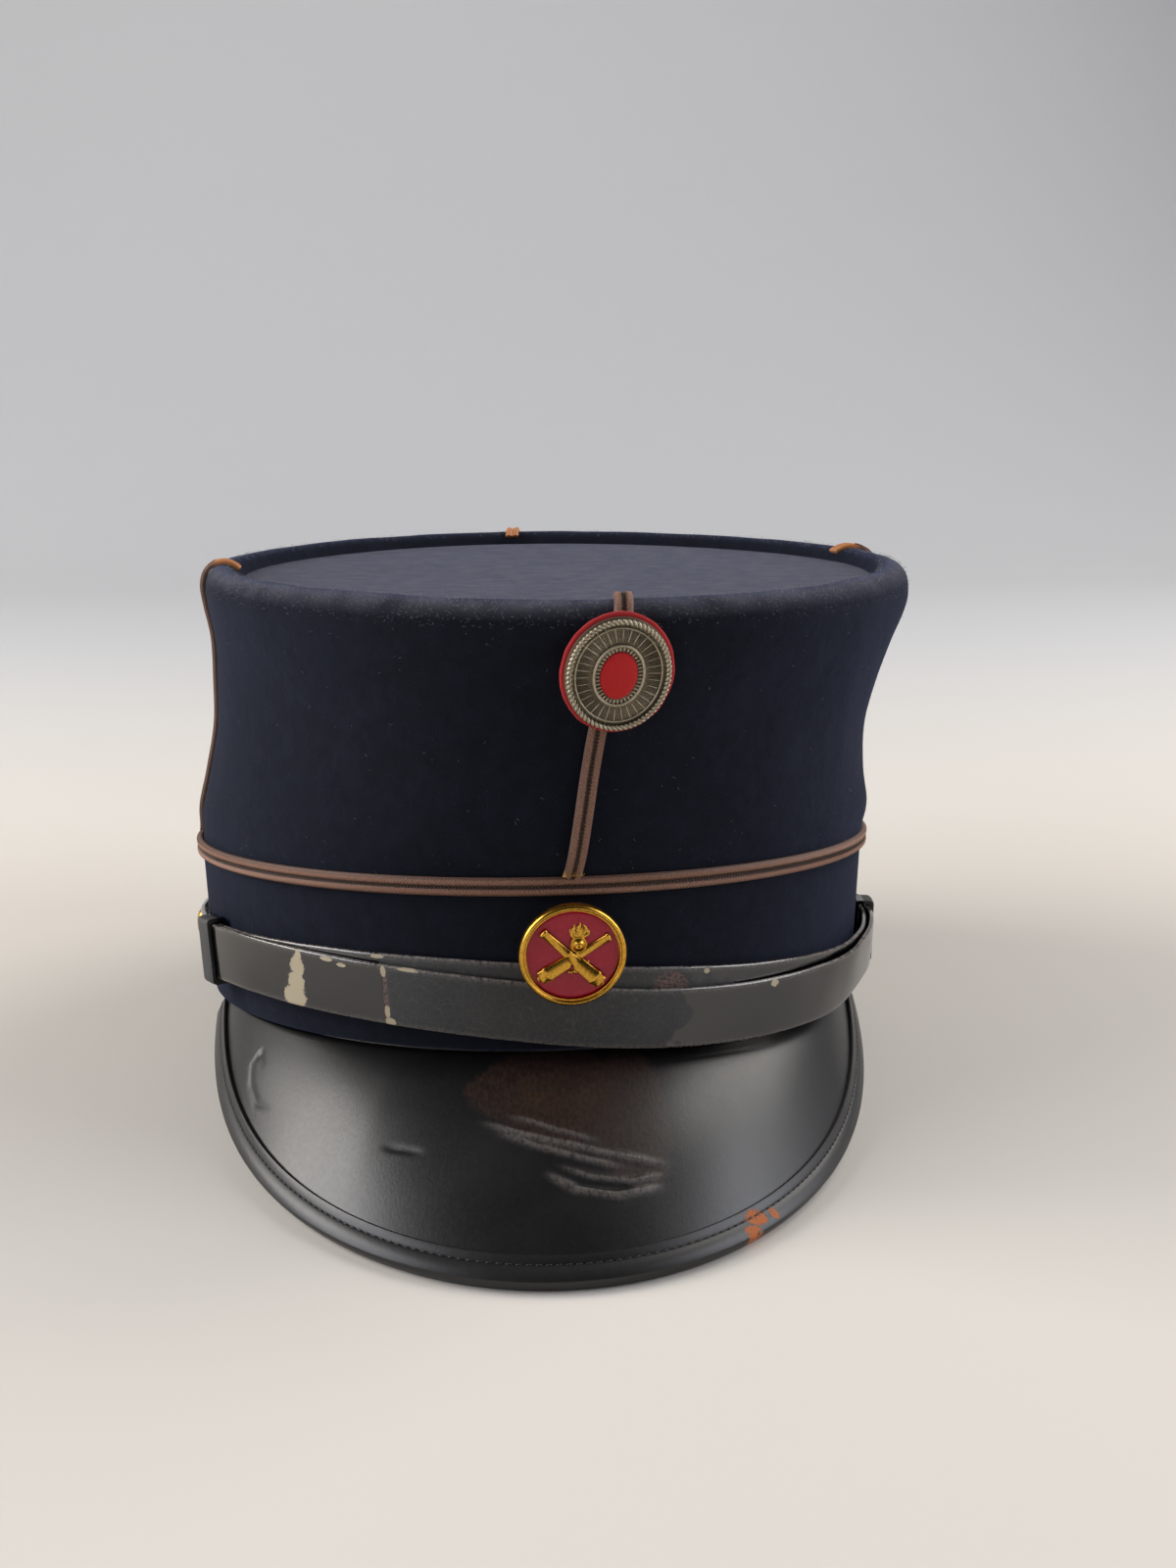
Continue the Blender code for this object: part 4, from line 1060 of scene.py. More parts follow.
@dataclass
class WoolBody(Assembly):
    """Band, crown wall with its rolled edge, and sunken top."""
    band_wall: float = 2.4
    crown_wall: float = 2.0
    top_wall: float = 2.0
    top_sag: float = 1.2
    seam: float = 0.3
    steps: int = 300
    ripple: float = 0.22
    crest_row: float = 10.9
    crest_span: float = 1.5
    cloth: Finish = WoolCloth("milled_navy_wool")
    top_cloth: Finish = WoolCloth("dusty_navy_wool", deep="#42403f", worn="#545250", dust=0.5, nap=0.5)
    lint: Finish = Thread("pale_lint", colour="#8f8c88", rough=0.9)

    def angles(self) -> Points:
        """Angles once round the cap."""
        return np.linspace(0.0, 360.0, self.steps, endpoint=False)

    def band(self) -> bpy.types.Object:
        """Stiff band, flat where it rests, with a turned bottom edge."""
        angle = self.angles()
        rows = np.linspace(0.02, 1.0, 14)
        outer = [self.shape.surface(angle, np.full_like(angle, row)) for row in rows]
        inner = []
        for row in rows[::-1]:
            low = self.shape.ring(0, angle, -self.band_wall)
            high = self.shape.ring(1, angle, -self.band_wall)
            inner.append(low + (high - low) * row)
        middle = (outer[0] + inner[-1]) / 2
        middle[:, 2] = np.minimum(middle[:, 2], self.shape.ring(0, angle)[:, 2])
        loops = np.stack(outer + inner + [middle])
        loops[..., 2] = np.maximum(loops[..., 2], 0.0)
        piece = Loft("wool_band", loops, ring=True).build(self.origin)
        self.cloth.dress(piece)
        return self.keep(piece, "navy_cloth", "band")

    def wall(self) -> bpy.types.Object:
        """Crown wall from the braid line over the rolled edge to the sunken top, and its inner face."""
        shape, angle = self.shape, self.angles()
        last = shape.last_row
        rows = np.concatenate([np.linspace(1.0, shape.ring_count - 1, 44)[:-1],
                               np.linspace(shape.ring_count - 1, last, 36)])
        outer, rubbed = [], []
        for row in rows:
            place, _, _, normal = shape.wall(angle, np.full_like(angle, row))
            bell = max(0.0, 1.0 - abs(row - self.crest_row) / self.crest_span)
            rubbed.append(np.clip(bell * (1.0 + 0.8 * grain(place, 5.0, 12.0)), 0.0, 1.0))
            fade = min(1.0, (row - 1.0) / 1.5)
            soft = grain(place, 16.0, 3.0) * self.ripple + grain(place, 6.0, 8.0) * 0.35 * self.ripple
            outer.append(place + normal * (soft * fade)[:, None])
        outer[0] = outer[0] + np.array((0.0, 0.0, self.seam))
        under_roll = ((1.0, 1.5), (0.76, 0.92), (0.55, 0.62), (0.37, 0.88))
        inner = [shape.roll(inset, drop, angle) for inset, drop in under_roll]
        inner += [shape.ring(index, angle, -self.crown_wall) for index in range(shape.ring_count - 1, 0, -1)]
        inner[-1] = inner[-1] + np.array((0.0, 0.0, self.seam))
        marks = {"rubbed": np.stack(rubbed + [np.zeros_like(angle)] * len(inner))}
        piece = Loft("wool_crown_wall", np.stack(outer + inner), ring=True, marks=marks).build(self.origin)
        self.cloth.dress(piece)
        return self.keep(piece, "navy_cloth", "crown_side")

    def top(self) -> bpy.types.Object:
        """Flat top inside the rolled edge, a little sunken in its middle."""
        shape, angle = self.shape, self.angles()
        hub = shape.ring(shape.ring_count - 1, angle).mean(axis=0)
        hub[2] = shape.crest_z() - shape.roll_drop
        rim = shape.roll(*shape.roll_rows[-1], angle, 0.1)
        shares = np.linspace(0.02, 1.0, 40)
        upper = []
        for share in shares[::-1]:
            place = hub + (rim - hub) * share
            place[:, 2] -= self.top_sag * (1 - share ** 2)
            place[:, 2] += 0.3 * grain(place, 30.0, 5.0) * (1 - share ** 6)
            upper.append(place)
        lower = [loop - np.array((0.0, 0.0, self.top_wall)) for loop in upper[::-1][::4]]
        piece = Loft("wool_crown_top", np.stack(lower + upper)).build(self.origin)
        self.top_cloth.dress(piece)
        return self.keep(piece, "grey_worn_cloth", "crown_top")

    def fuzz(self) -> list[bpy.types.Object]:
        """Rubbed-up fibres along the rim's crest and a little lint on the wall."""
        shape = self.shape
        pick = np.random.default_rng(41)
        made = []
        # name, count, length, lowest and highest row, half of the arc that it covers, seed
        for name, count, length, low, high, arc, seed in (("rim_fuzz", 2600, 1.5, 10.1, 12.9, 180.0, 5),
                                                          ("crest_fuzz", 1500, 1.0, 9.0, 11.2, 75.0, 15),
                                                          ("wall_lint", 520, 1.1, 1.4, 9.6, 180.0, 9)):
            angle = pick.uniform(-arc, arc, count)
            row = pick.uniform(low, high, count)
            place = shape.wall(angle, row, 0.15)[0]
            fibres = LooseFibres(length, 0.05)
            made.append(self.keep(fibres.build(name, place, self.lint, self.origin, seed), "navy_cloth"))
        return made

    def build(self) -> None:
        """Make all the wool pieces."""
        self.band()
        self.wall()
        self.top()
        self.fuzz()


@dataclass
class Braiding(Assembly):
    """Flat two-lobed braid round the seam and in four lines up the crown."""
    width: float = 3.9
    thickness: float = 1.2
    groove: float = 0.5
    off_cloth: float = 0.1
    braid: Finish = SilkBraid("brown_silk_braid", colour="#74503c")
    threads: Finish = SilkBraid("brown_braid_threads", colour="#9c6f58", dark="#5f4232")
    # near-black chevrons of the same silk laid in the groove between the lobes: painted shade in the groove
    chevrons: Finish = SilkBraid("dark_braid_chevrons", colour="#4a3020", dark="#130c0a")
    # name, foot angle, rim angle
    lines: tuple[tuple[str, float, float], ...] = (("front_braid", 2.8, 5.8), ("right_braid", 94.0, 106.0),
                                                   ("back_braid", 182.0, 187.0),
                                                   ("left_braid", 273.0, 276.0))

    def section(self) -> Points:
        """Cross-section with two round lobes and a groove."""
        half = self.width / 2
        points = []
        for step in range(21):
            across = half * cos(pi * step / 20)
            near = abs(across) / half
            lobe = (1 - (2 * near - 1) ** 2) ** 0.5 if 0 < near < 1 else 0.0
            height = self.thickness * (0.45 + 0.55 * lobe)
            if near < 0.5:
                height = self.thickness - self.groove * (1 - 2 * near) ** 1.5
            points.append((across, height if 0 < step < 20 else 0.35 * self.thickness))
        points += [(-half * 0.95, 0.0), (0.0, -0.1), (half * 0.95, 0.0)]
        return np.array(points)

    def stitches(self, name: str, path: Points, normal: Points, closed: bool) -> None:
        """Slanting threads of both lobes, and chevrons in the groove between them, coloured near black as
        painted shade.
        """
        on_lobes = path + normal * 0.95 * self.thickness
        in_groove = path + normal * (self.thickness - 0.42 * self.groove)
        for side in Side:
            end = side.name.lower()
            lobe = StitchRow(spacing=0.75, length=2.05, width=0.62, height=0.42, slant=side.value * 38.0,
                             aside=side.value * 1.05, jitter=0.08)
            self.lay(lobe, f"{name}_threads_{end}", "brown_braid", self.threads, on_lobes, normal, closed, 3)
            # dark strands in the groove: painted shade
            notch = StitchRow(spacing=0.75, length=1.0, width=0.34, height=0.3, slant=side.value * 50.0,
                              aside=side.value * 0.28, jitter=0.05, sides=5)
            self.lay(notch, f"{name}_chevrons_{end}", "brown_braid", self.chevrons, in_groove, normal,
                     closed, 4)

    def ring(self) -> None:
        """Braid round the seam of band and crown."""
        angle = np.linspace(0.0, 360.0, 480, endpoint=False)
        place, _, up, normal = self.shape.wall(angle, np.ones_like(angle), self.off_cloth)
        self.add(Loft("seam_braid", swept(place, up, normal, self.section()), ring=True), self.braid,
                 "brown_braid", "band_braid")
        self.stitches("seam_braid", place, normal, True)

    def line(self, name: str, foot: float, rim: float) -> None:
        """One braid line from the seam up the crown and over its rolled edge."""
        start = self.shape.climb_row(foot, self.width / 2 + 0.3)
        end = self.shape.last_row - 0.8
        rows = np.linspace(start, end, 150)
        share = (rows - start) / (end - start)
        angle = foot + (rim - foot) * share
        place, across, _, normal = self.shape.wall(angle, rows, self.off_cloth)
        run = run_lengths(place)
        section = self.section()
        loops = swept(place, across, normal, section)
        front = name == "front_braid"
        crest = np.clip((run - (run[-1] - (5.0 if front else 6.5))) / 1.6, 0.0, 1.0)
        worn = np.repeat((crest * (0.55 if front else 1.0))[:, None], len(section), axis=1)
        frayed = np.repeat((np.clip(1.0 - run / 1.6, 0.0, 1.0) * (1.0 if front else 0.0))[:, None],
                           len(section), axis=1)
        self.add(Loft(name + "_line", loops, marks={"worn": worn, "frayed": frayed}), self.braid,
                 "brown_braid", name)
        threads_end = int(np.searchsorted(run, run[-1] - (1.0 if front else 6.0)))
        self.stitches(name, place[:threads_end], normal[:threads_end], False)
        if front:
            self.fray(place[:4].mean(axis=0), across[0], normal[0])

    def fray(self, place: Points, across: Points, normal: Points) -> None:
        """Loose yellow threads at the cut foot of the front line."""
        pick = np.random.default_rng(7)
        spots = place + across * pick.uniform(-1.9, 1.9, (70, 1)) + normal * pick.uniform(0.5, 1.4, (70, 1))
        fibres = LooseFibres(1.4, 0.09)
        finish = Thread("frayed_yellow_thread", colour="#c0914a")
        self.keep(fibres.build("front_braid_fray", spots, finish, self.origin, 12), "brown_braid")

    def build(self) -> None:
        """Make the ring and the four lines."""
        self.ring()
        for name, foot, rim in self.lines:
            self.line(name, foot, rim)


@dataclass
class Cockade(Assembly):
    """Oval cockade: felt, wound wire disc, twisted cord, inner cord and a red middle."""
    angle: float = 4.4
    below_rim: float = 13.4
    lean: float = 9.0
    felt_half: tuple[float, float] = (11.4, 12.5)
    felt_thickness: float = 1.0
    disc_margin: float = 0.8
    disc_thickness: float = 1.0
    cord_radius: float = 0.75
    inner_half: tuple[float, float] = (4.5, 5.7)
    stand: float = 1.8
    felt: Finish = Felt("scarlet_felt")
    middle: Finish = Felt("red_cloth_dome", colour="#c81c1c", dark="#a81517")
    wire: Finish = GiltThread("dulled_silver_gilt_thread", bright="#9c8f78", dull="#3c342b")
    cord: Finish = GiltThread("silver_gilt_cord", bright="#d8ccb0", dull="#6b5f4c", metallic=0.6, rough=0.38)

    def frame(self) -> tuple[Points, Points, Points, Points]:
        """Place on the crown, with the oval's own side, up and outward directions."""
        shape, angle = self.shape, np.array([self.angle])
        rings = np.stack([shape.ring(index, angle)[0] for index in range(1, shape.ring_count)])
        climb = np.linalg.norm(np.diff(rings, axis=0), axis=1).sum() + shape.rim_rise()
        row = shape.climb_row(self.angle, climb - self.below_rim)
        place, side, up, normal = (part[0] for part in shape.wall(angle, np.array([row])))
        turn = radians(self.lean)
        return place, side * cos(turn) - up * sin(turn), up * cos(turn) + side * sin(turn), normal

    def oval(self, half_width: float, half_height: float, height: float, steps: int = 96) -> Points:
        """Points round an oval above the crown's face."""
        place, side, up, normal = self.frame()
        turn = np.linspace(0.0, 2 * pi, steps, endpoint=False)[:, None]
        return (place + normal * (self.stand + height) + side * half_width * np.cos(turn)
                + up * half_height * np.sin(turn))

    def stack(self, name: str, profile: Sequence[tuple[float, float, float]], rough: float = 0.0) -> Loft:
        """Solid of ovals.

        Args:
            name: Name of the piece.
            profile: Half width, half height and height of each oval.
            rough: Unevenness of its outline in millimetres.

        Returns:
            The solid.
        """
        loops = np.stack([self.oval(*part) for part in profile])
        if rough:
            centre = self.frame()[0]
            loops += unit(loops - centre) * (grain(loops, 1.4, 2.0) * rough)[..., None]
        return Loft(name, loops)

    def bead(self, name: str, half_width: float, half_height: float, height: float, radius: float) -> Loft:
        """Smooth wire ring of an oval."""
        loops = np.stack([self.oval(half_width + radius * cos(turn), half_height + radius * cos(turn),
                                    height + radius * sin(turn))
                          for turn in np.linspace(0.0, 2 * pi, 10, endpoint=False)])
        return Loft(name, loops, ring=True)

    def build(self) -> None:
        """Make and dress the cockade from the crown outwards."""
        normal = self.frame()[3]
        wide, tall = self.felt_half
        edge = self.felt_thickness
        felt = self.stack("cockade_felt_backing", (
            (wide - 0.5, tall - 0.5, 0.0), (wide - 0.1, tall - 0.1, 0.2 * edge), (wide, tall, 0.5 * edge),
            (wide - 0.1, tall - 0.1, 0.9 * edge), (wide - 0.5, tall - 0.5, 1.15 * edge)), rough=0.16)
        self.add(felt, self.felt, "red_felt", "cockade_felt")

        disc_wide, disc_tall = wide - self.disc_margin, tall - self.disc_margin
        top = edge + 0.3 + self.disc_thickness
        disc = self.stack("cockade_wire_disc", (
            (disc_wide - 0.2, disc_tall - 0.2, edge + 0.1), (disc_wide, disc_tall, edge + 0.4),
            (disc_wide, disc_tall, top - 0.5), (disc_wide - 0.7, disc_tall - 0.7, top - 0.15),
            (0.75 * disc_wide, 0.75 * disc_tall, top - 0.25), (0.5 * disc_wide, 0.5 * disc_tall, top),
            (0.3 * disc_wide, 0.3 * disc_tall, top)))
        self.add(disc, self.wire, "dull_gilt_wire", "cockade_disc")

        # threads of the disc are about 0.15 mm thick; every second one is drawn, at 0.24 mm
        inner_wide, inner_tall = self.inner_half
        ring_wide, ring_tall = inner_wide + 0.45, inner_tall + 0.45
        rays_wide, rays_tall = (ring_wide + disc_wide - 1.3) / 2, (ring_tall + disc_tall - 1.3) / 2
        rays = StitchRow(spacing=0.33, length=disc_wide - 1.1 - ring_wide, width=0.24, height=0.3,
                         slant=90.0, jitter=0.12, sides=5)
        self.lay(rays, "cockade_rays", "dull_gilt_wire", self.wire,
                 self.oval(rays_wide, rays_tall, top - 0.02), normal, seed=6)
        bright = StitchRow(spacing=1.45, length=disc_wide - 1.6 - ring_wide, width=0.26, height=0.34,
                           slant=90.0, jitter=0.3, sides=5)
        self.lay(bright, "cockade_bright_rays", "dull_gilt_wire", self.cord,
                 self.oval(rays_wide, rays_tall, top + 0.03), normal, seed=8)

        cord_wide, cord_tall = disc_wide - self.cord_radius, disc_tall - self.cord_radius
        self.add(self.bead("cockade_cord_core", cord_wide, cord_tall, top + 0.35, 0.42), self.wire,
                 "dull_gilt_wire", "cockade_outer_cord")
        twist = StitchRow(spacing=0.95, length=1.75, width=0.72, height=0.95, slant=-40.0, sides=8)
        self.lay(twist, "cockade_cord_twist", "dull_gilt_wire", self.cord,
                 self.oval(cord_wide, cord_tall, top + 0.42), normal)
        self.add(self.bead("cockade_fine_wire", cord_wide - 1.25, cord_tall - 1.25, top + 0.1, 0.17),
                 self.cord, "dull_gilt_wire")
        self.add(self.bead("cockade_inner_wire", ring_wide, ring_tall, top + 0.3, 0.3), self.cord,
                 "dull_gilt_wire", "cockade_inner_cord")
        bars = StitchRow(spacing=0.78, length=1.25, width=0.36, height=0.6, slant=90.0, sides=6)
        self.lay(bars, "cockade_inner_bars", "dull_gilt_wire", self.cord,
                 self.oval(inner_wide - 0.25, inner_tall - 0.25, top + 0.25), normal)
        dome_wide, dome_tall = inner_wide - 0.75, inner_tall - 0.75
        dome = self.stack("cockade_red_dome", tuple(
            (dome_wide * cos(turn), dome_tall * cos(turn), top + 0.05 + 1.15 * sin(turn))
            for turn in np.linspace(0.0, 1.5, 9)))
        self.add(dome, self.middle, "red_felt", "cockade_centre")


@dataclass
class Badge(Assembly):
    """Round badge: brass rim, enamel field, crossed guns and a flaming grenade in relief."""
    angle: float = 2.7
    below_braid: float = 13.8
    radius: float = 11.1
    lean: float = 5.0
    stand: float = 3.1
    depth: float = 2.5
    rim: float = 1.4
    plate: float = 0.9
    field_height: float = 1.75
    brass: Finish = GiltBrass("gilt_stamped_brass")
    enamel: Finish = Enamel("crimson_fired_enamel")

    def frame(self) -> tuple[Points, Points, Points, Points]:
        """Middle of the back plate, with the badge's side, up and outward directions."""
        row = np.array([1.0 - self.below_braid / self.shape.band_height])
        place, side, up, normal = (part[0] for part in self.shape.wall(np.array([self.angle]), row))
        turn = radians(self.lean)
        tipped_up = up * cos(turn) + normal * sin(turn)
        tipped_normal = normal * cos(turn) - up * sin(turn)
        return place + normal * self.stand, side, tipped_up, tipped_normal

    def turned(self, name: str, profile: Sequence[tuple[float, float]], at: tuple[float, float] = (0.0, 0.0),
               steps: int = 96) -> Loft:
        """Solid turned about the badge's normal from a profile of (radius, height)."""
        back, side, up, normal = self.frame()
        turn = np.linspace(0.0, 2 * pi, steps, endpoint=False)[:, None]
        loops = np.stack([back + side * (at[0] + radius * np.cos(turn)) + up * (at[1] + radius * np.sin(turn))
                          + normal * height for radius, height in profile])
        return Loft(name, loops)

    def rib(self, name: str, line: Sequence[tuple[float, float, float, float]], base: float) -> Loft:
        """Half-round rib in relief.

        Args:
            name: Name of the piece.
            line: Place on the badge, half width and height at each station.
            base: Height of its foot over the back plate.

        Returns:
            The rib.
        """
        back, side, up, normal = self.frame()
        points = np.array([(x, y) for x, y, _, _ in line])
        along = unit(np.gradient(points, axis=0))
        across = np.stack([-along[:, 1], along[:, 0]], axis=1)
        loops = []
        for (x, y, half, height), offset in zip(line, across):
            loop = []
            for step in range(13):
                turn = pi * step / 12
                shift = half * cos(turn)
                lift = base + height * sin(turn) ** 0.45
                spot = np.array((x, y)) + offset * shift
                loop.append(back + side * spot[0] + up * spot[1] + normal * lift)
            loops.append(loop)
        return Loft(name, np.array(loops))

    def gun(self, name: str, muzzle: tuple[float, float], breech: tuple[float, float],
            base: float) -> Loft:
        """One gun barrel: slim, widening past the crossing into its casing, with bands and a knob."""
        reach = self.radius - self.rim
        start, end = np.array(muzzle) * reach, np.array(breech) * reach
        stations = ((0.0, 0.07, 0.6), (0.01, 0.098, 0.75), (0.035, 0.098, 0.75), (0.045, 0.088, 0.65),
                    (0.40, 0.094, 0.65), (0.41, 0.108, 0.75), (0.435, 0.108, 0.75), (0.445, 0.098, 0.65),
                    (0.58, 0.108, 0.7), (0.595, 0.152, 0.85), (0.84, 0.164, 0.9), (0.85, 0.18, 1.0),
                    (0.885, 0.18, 1.0), (0.895, 0.162, 0.9), (0.965, 0.158, 0.85), (0.975, 0.08, 0.6),
                    (1.0, 0.06, 0.55), (1.01, 0.02, 0.25))
        line = [(*(start + (end - start) * share), half * reach, height) for share, half, height in stations]
        return self.rib(name, line, base)

    def flame(self, base: float) -> list[Loft]:
        """Curling tongues of the grenade's flame."""
        reach = self.radius - self.rim
        # foot x, foot y, bend, tip x, tip y, half width: shares of the field's radius
        tongues = ((0.12, 0.42, 0.00, 0.13, 0.76, 0.070), (0.08, 0.42, -0.05, 0.03, 0.72, 0.062),
                   (0.17, 0.42, 0.05, 0.23, 0.71, 0.060), (0.05, 0.41, -0.06, -0.04, 0.62, 0.052),
                   (0.20, 0.41, 0.06, 0.30, 0.62, 0.052), (0.12, 0.42, 0.03, 0.18, 0.66, 0.050))
        made = []
        for index, (x, y, bend, tip_x, tip_y, half) in enumerate(tongues):
            line = []
            for step in range(11):
                share = step / 10
                wave = bend * sin(pi * share) + 0.018 * sin(3 * pi * share + index)
                line.append(((x + (tip_x - x) * share + wave) * reach, (y + (tip_y - y) * share) * reach,
                             half * reach * (1 - share) ** 0.6 * (0.7 + 0.3 * sin(pi * share)) + 0.03,
                             0.55 - 0.25 * share))
            made.append(self.rib(f"badge_flame_{index + 1}", line, base))
        return made

    def build(self) -> None:
        """Make and dress the badge from its back outwards."""
        inner = self.radius - self.rim
        ring = self.turned("badge_gilt_rim", (
            (1.4, -self.stand + 0.1), (1.4, 0.0), (self.radius - 0.5, 0.0), (self.radius - 0.1, 0.25),
            (self.radius, 0.7), (self.radius, self.depth - 0.7), (self.radius - 0.12, self.depth - 0.3),
            (self.radius - 0.4, self.depth - 0.05), (self.radius - 0.65, self.depth),
            (self.radius - 0.9, self.depth - 0.07), (self.radius - 1.08, self.depth - 0.3),
            (self.radius - 1.12, self.depth - 0.5), (inner + 0.05, self.depth - 0.52),
            (inner, self.depth - 0.62), (inner - 0.02, self.plate)))
        self.add(ring, self.brass, "gilt_brass", "badge_rim")
        bowl = inner - 0.18
        face = self.turned("badge_enamel_field", (
            (bowl, self.plate - 0.1), (bowl, self.field_height - 0.25),
            *((bowl * cos(turn), self.field_height - 0.25 + 0.42 * sin(turn))
              for turn in np.linspace(0.2, 1.53, 12))))
        self.add(face, self.enamel, "crimson_enamel", "badge_field")

        base = self.field_height + 0.1
        pieces = [self.gun("badge_gun_under", (0.78, 0.42), (-0.73, -0.52), base - 0.05),
                  self.gun("badge_gun_over", (-0.66, 0.57), (0.63, -0.65), base + 0.3)]
        at = (0.112 * inner, 0.262 * inner)
        ball = 0.184 * inner
        pieces.append(self.turned("badge_grenade", (
            (ball, base - 0.1), (ball, base + 0.45), (ball - 0.12, base + 0.62), (ball - 0.3, base + 0.62),
            (ball - 0.42, base + 0.45), (ball - 0.55, base + 0.55), (0.45 * ball, base + 0.8),
            (0.40 * ball, base + 0.95), (0.30 * ball, base + 0.95), (0.24 * ball, base + 0.82),
            (0.05, base + 0.8)), at, 40))
        pieces += self.flame(base - 0.1)
        for index, (x, y) in enumerate(((-0.21, -0.08), (-0.05, -0.37), (0.06, -0.36), (0.30, -0.15))):
            pieces.append(self.turned(f"badge_peg_{index + 1}", (
                (0.5, base - 0.1), (0.5, base + 0.25), (0.38, base + 0.42), (0.05, base + 0.48)),
                (x * inner, y * inner), 16))
        self.add(pieces[0], self.brass, "gilt_brass", "badge_emblem")
        for loft in pieces[1:]:
            self.add(loft, self.brass, "gilt_brass")


@dataclass
class ChinStrap(Assembly):
    """Two overlapping patent straps in front of the band, with keepers and domed side buttons."""
    width: float = 13.0
    thickness: float = 1.1
    corner: float = 0.4
    swell: float = 0.12
    stand: float = 0.45
    end_reach: float = 6.0
    keeper_left_angle: float = -62.5
    keeper_right_angle: float = 83.0
    keeper_width: float = 7.0
    keeper_thickness: float = 1.0
    keeper_clear: float = 0.3
    button_left_angle: float = -88.0
    button_right_angle: float = 96.0
    button_radius: float = 4.7
    button_dome: float = 2.2
    button_plate: float = 0.6
    # angle, height over the braid line as a share of the band's height, bulge in thicknesses
    inner_course: Table = ((-94.0, -0.63, 0.0), (-88.0, -0.62, 0.0), (-83.0, -0.61, 0.02),
                           (-74.0, -0.60, 0.60), (-63.0, -0.59, 1.15), (-54.0, -0.59, 0.70),
                           (-33.0, -0.59, 0.05), (-12.0, -0.61, 0.0), (12.0, -0.68, 0.0),
                           (36.0, -0.76, 0.10), (52.0, -0.79, 0.45), (63.0, -0.77, 0.85),
                           (72.0, -0.75, 1.05), (81.0, -0.745, 1.15), (89.0, -0.73, 1.15))
    outer_course: Table = ((-69.0, -0.59, 2.55), (-63.0, -0.59, 2.50), (-54.0, -0.58, 2.10),
                           (-33.0, -0.62, 1.45), (-12.0, -0.69, 1.36), (12.0, -0.80, 1.36),
                           (28.0, -0.84, 1.55), (42.0, -0.845, 1.95), (54.0, -0.83, 2.30),
                           (63.0, -0.775, 2.45), (73.0, -0.735, 2.80), (81.0, -0.735, 2.52),
                           (87.9, -0.715, 2.47), (91.6, -0.70, 0.12), (96.0, -0.68, 0.05),
                           (100.0, -0.66, 0.05))
    # angle, twist in degrees with the upper edge outwards
    twist: Table = ((-94.0, 0.0), (44.0, 0.0), (56.0, 6.0), (66.0, 6.0), (76.0, 0.0), (100.0, 0.0))
    brass: Finish = GiltBrass("gilt_stamped_brass")
    plain: Finish = PatentLeather("black_patent_keeper", crazed=(Spot((0.0, 0.0), (20.0, 20.0)),))
    # places are millimetres along the strap from the middle of the cap, and across it
    outer_leather: Finish = PatentLeather(
        "black_patent_front_strap",
        cream=(Spot((-59.8, -4.4), (3.4, 2.6), 0.5, 0.1), Spot((-58.9, -1.0), (2.3, 2.9), 0.6, -0.1),
               Spot((-58.2, 2.6), (2.0, 2.4), 0.6, -0.12), Spot((-57.6, 5.2), (0.9, 1.3), 0.6),
               Spot((-49.6, 5.7), (1.6, 0.5), 0.6), Spot((-45.8, 5.0), (1.1, 0.45), 0.6),
               Spot((-35.6, 5.2), (0.6, 1.2), 0.6), Spot((-34.6, -5.7), (1.2, 0.8), 0.6),
               Spot((-30.0, 6.2), (2.4, 0.35), 0.6), Spot((52.5, 5.5), (1.1, 0.9), 0.6),
               Spot((-35.2, -3.6), (0.6, 1.4), 0.7)),
        brown=(Spot((-35.3, -1.5), (0.6, 5.6), 0.7), Spot((-35.3, 3.0), (0.45, 2.6), 0.7)),
        crazed=(Spot((-24.5, 0.0), (10.5, 16.0), 0.1), Spot((-4.0, 0.0), (20.0, 16.0), 0.3),
                Spot((18.0, 0.0), (12.0, 14.0), 0.9)))
    inner_leather: Finish = PatentLeather(
        "black_patent_back_strap",
        cream=(Spot((-37.0, 5.9), (1.6, 0.4), 0.5), Spot((34.0, 5.6), (0.7, 0.6), 0.5)),
        brown=(Spot((25.5, 2.4), (4.2, 3.6), 0.6), Spot((24.0, 3.6), (1.8, 1.6), 0.6)),
        crazed=(Spot((0.0, 0.0), (38.0, 14.0), 0.6),))

    def course(self, table: Table, angle: Points, out: float = 0.0) -> tuple[Points, Points, Points, Points]:
        """Frames on the inner face of a strap.

        Args:
            table: Course of the strap.
            angle: Angles in degrees.
            out: Distance off the inner face.

        Returns:
            Place, direction round the cap, direction up the wall and outward normal.
        """
        row = np.array([1.0 + table_value(table, at, 1) for at in angle])
        stand = np.array([self.stand + self.thickness * table_value(table, at, 2) for at in angle])
        place, side, up, normal = self.shape.wall(angle, row, stand)
        turn = np.radians([table_value(self.twist, at, 1) for at in angle])[:, None]
        leaned = up * np.cos(turn) + normal * np.sin(turn)
        normal = normal * np.cos(turn) - up * np.sin(turn)
        return place + normal * out, side, leaned, normal

    def past(self, angle: float, reach: float) -> float:
        """Angle that lies a reach further round the side of the band."""
        return angle + reach / self.shape.band_half_length * 180.0 / pi * (1 if angle > 0 else -1)

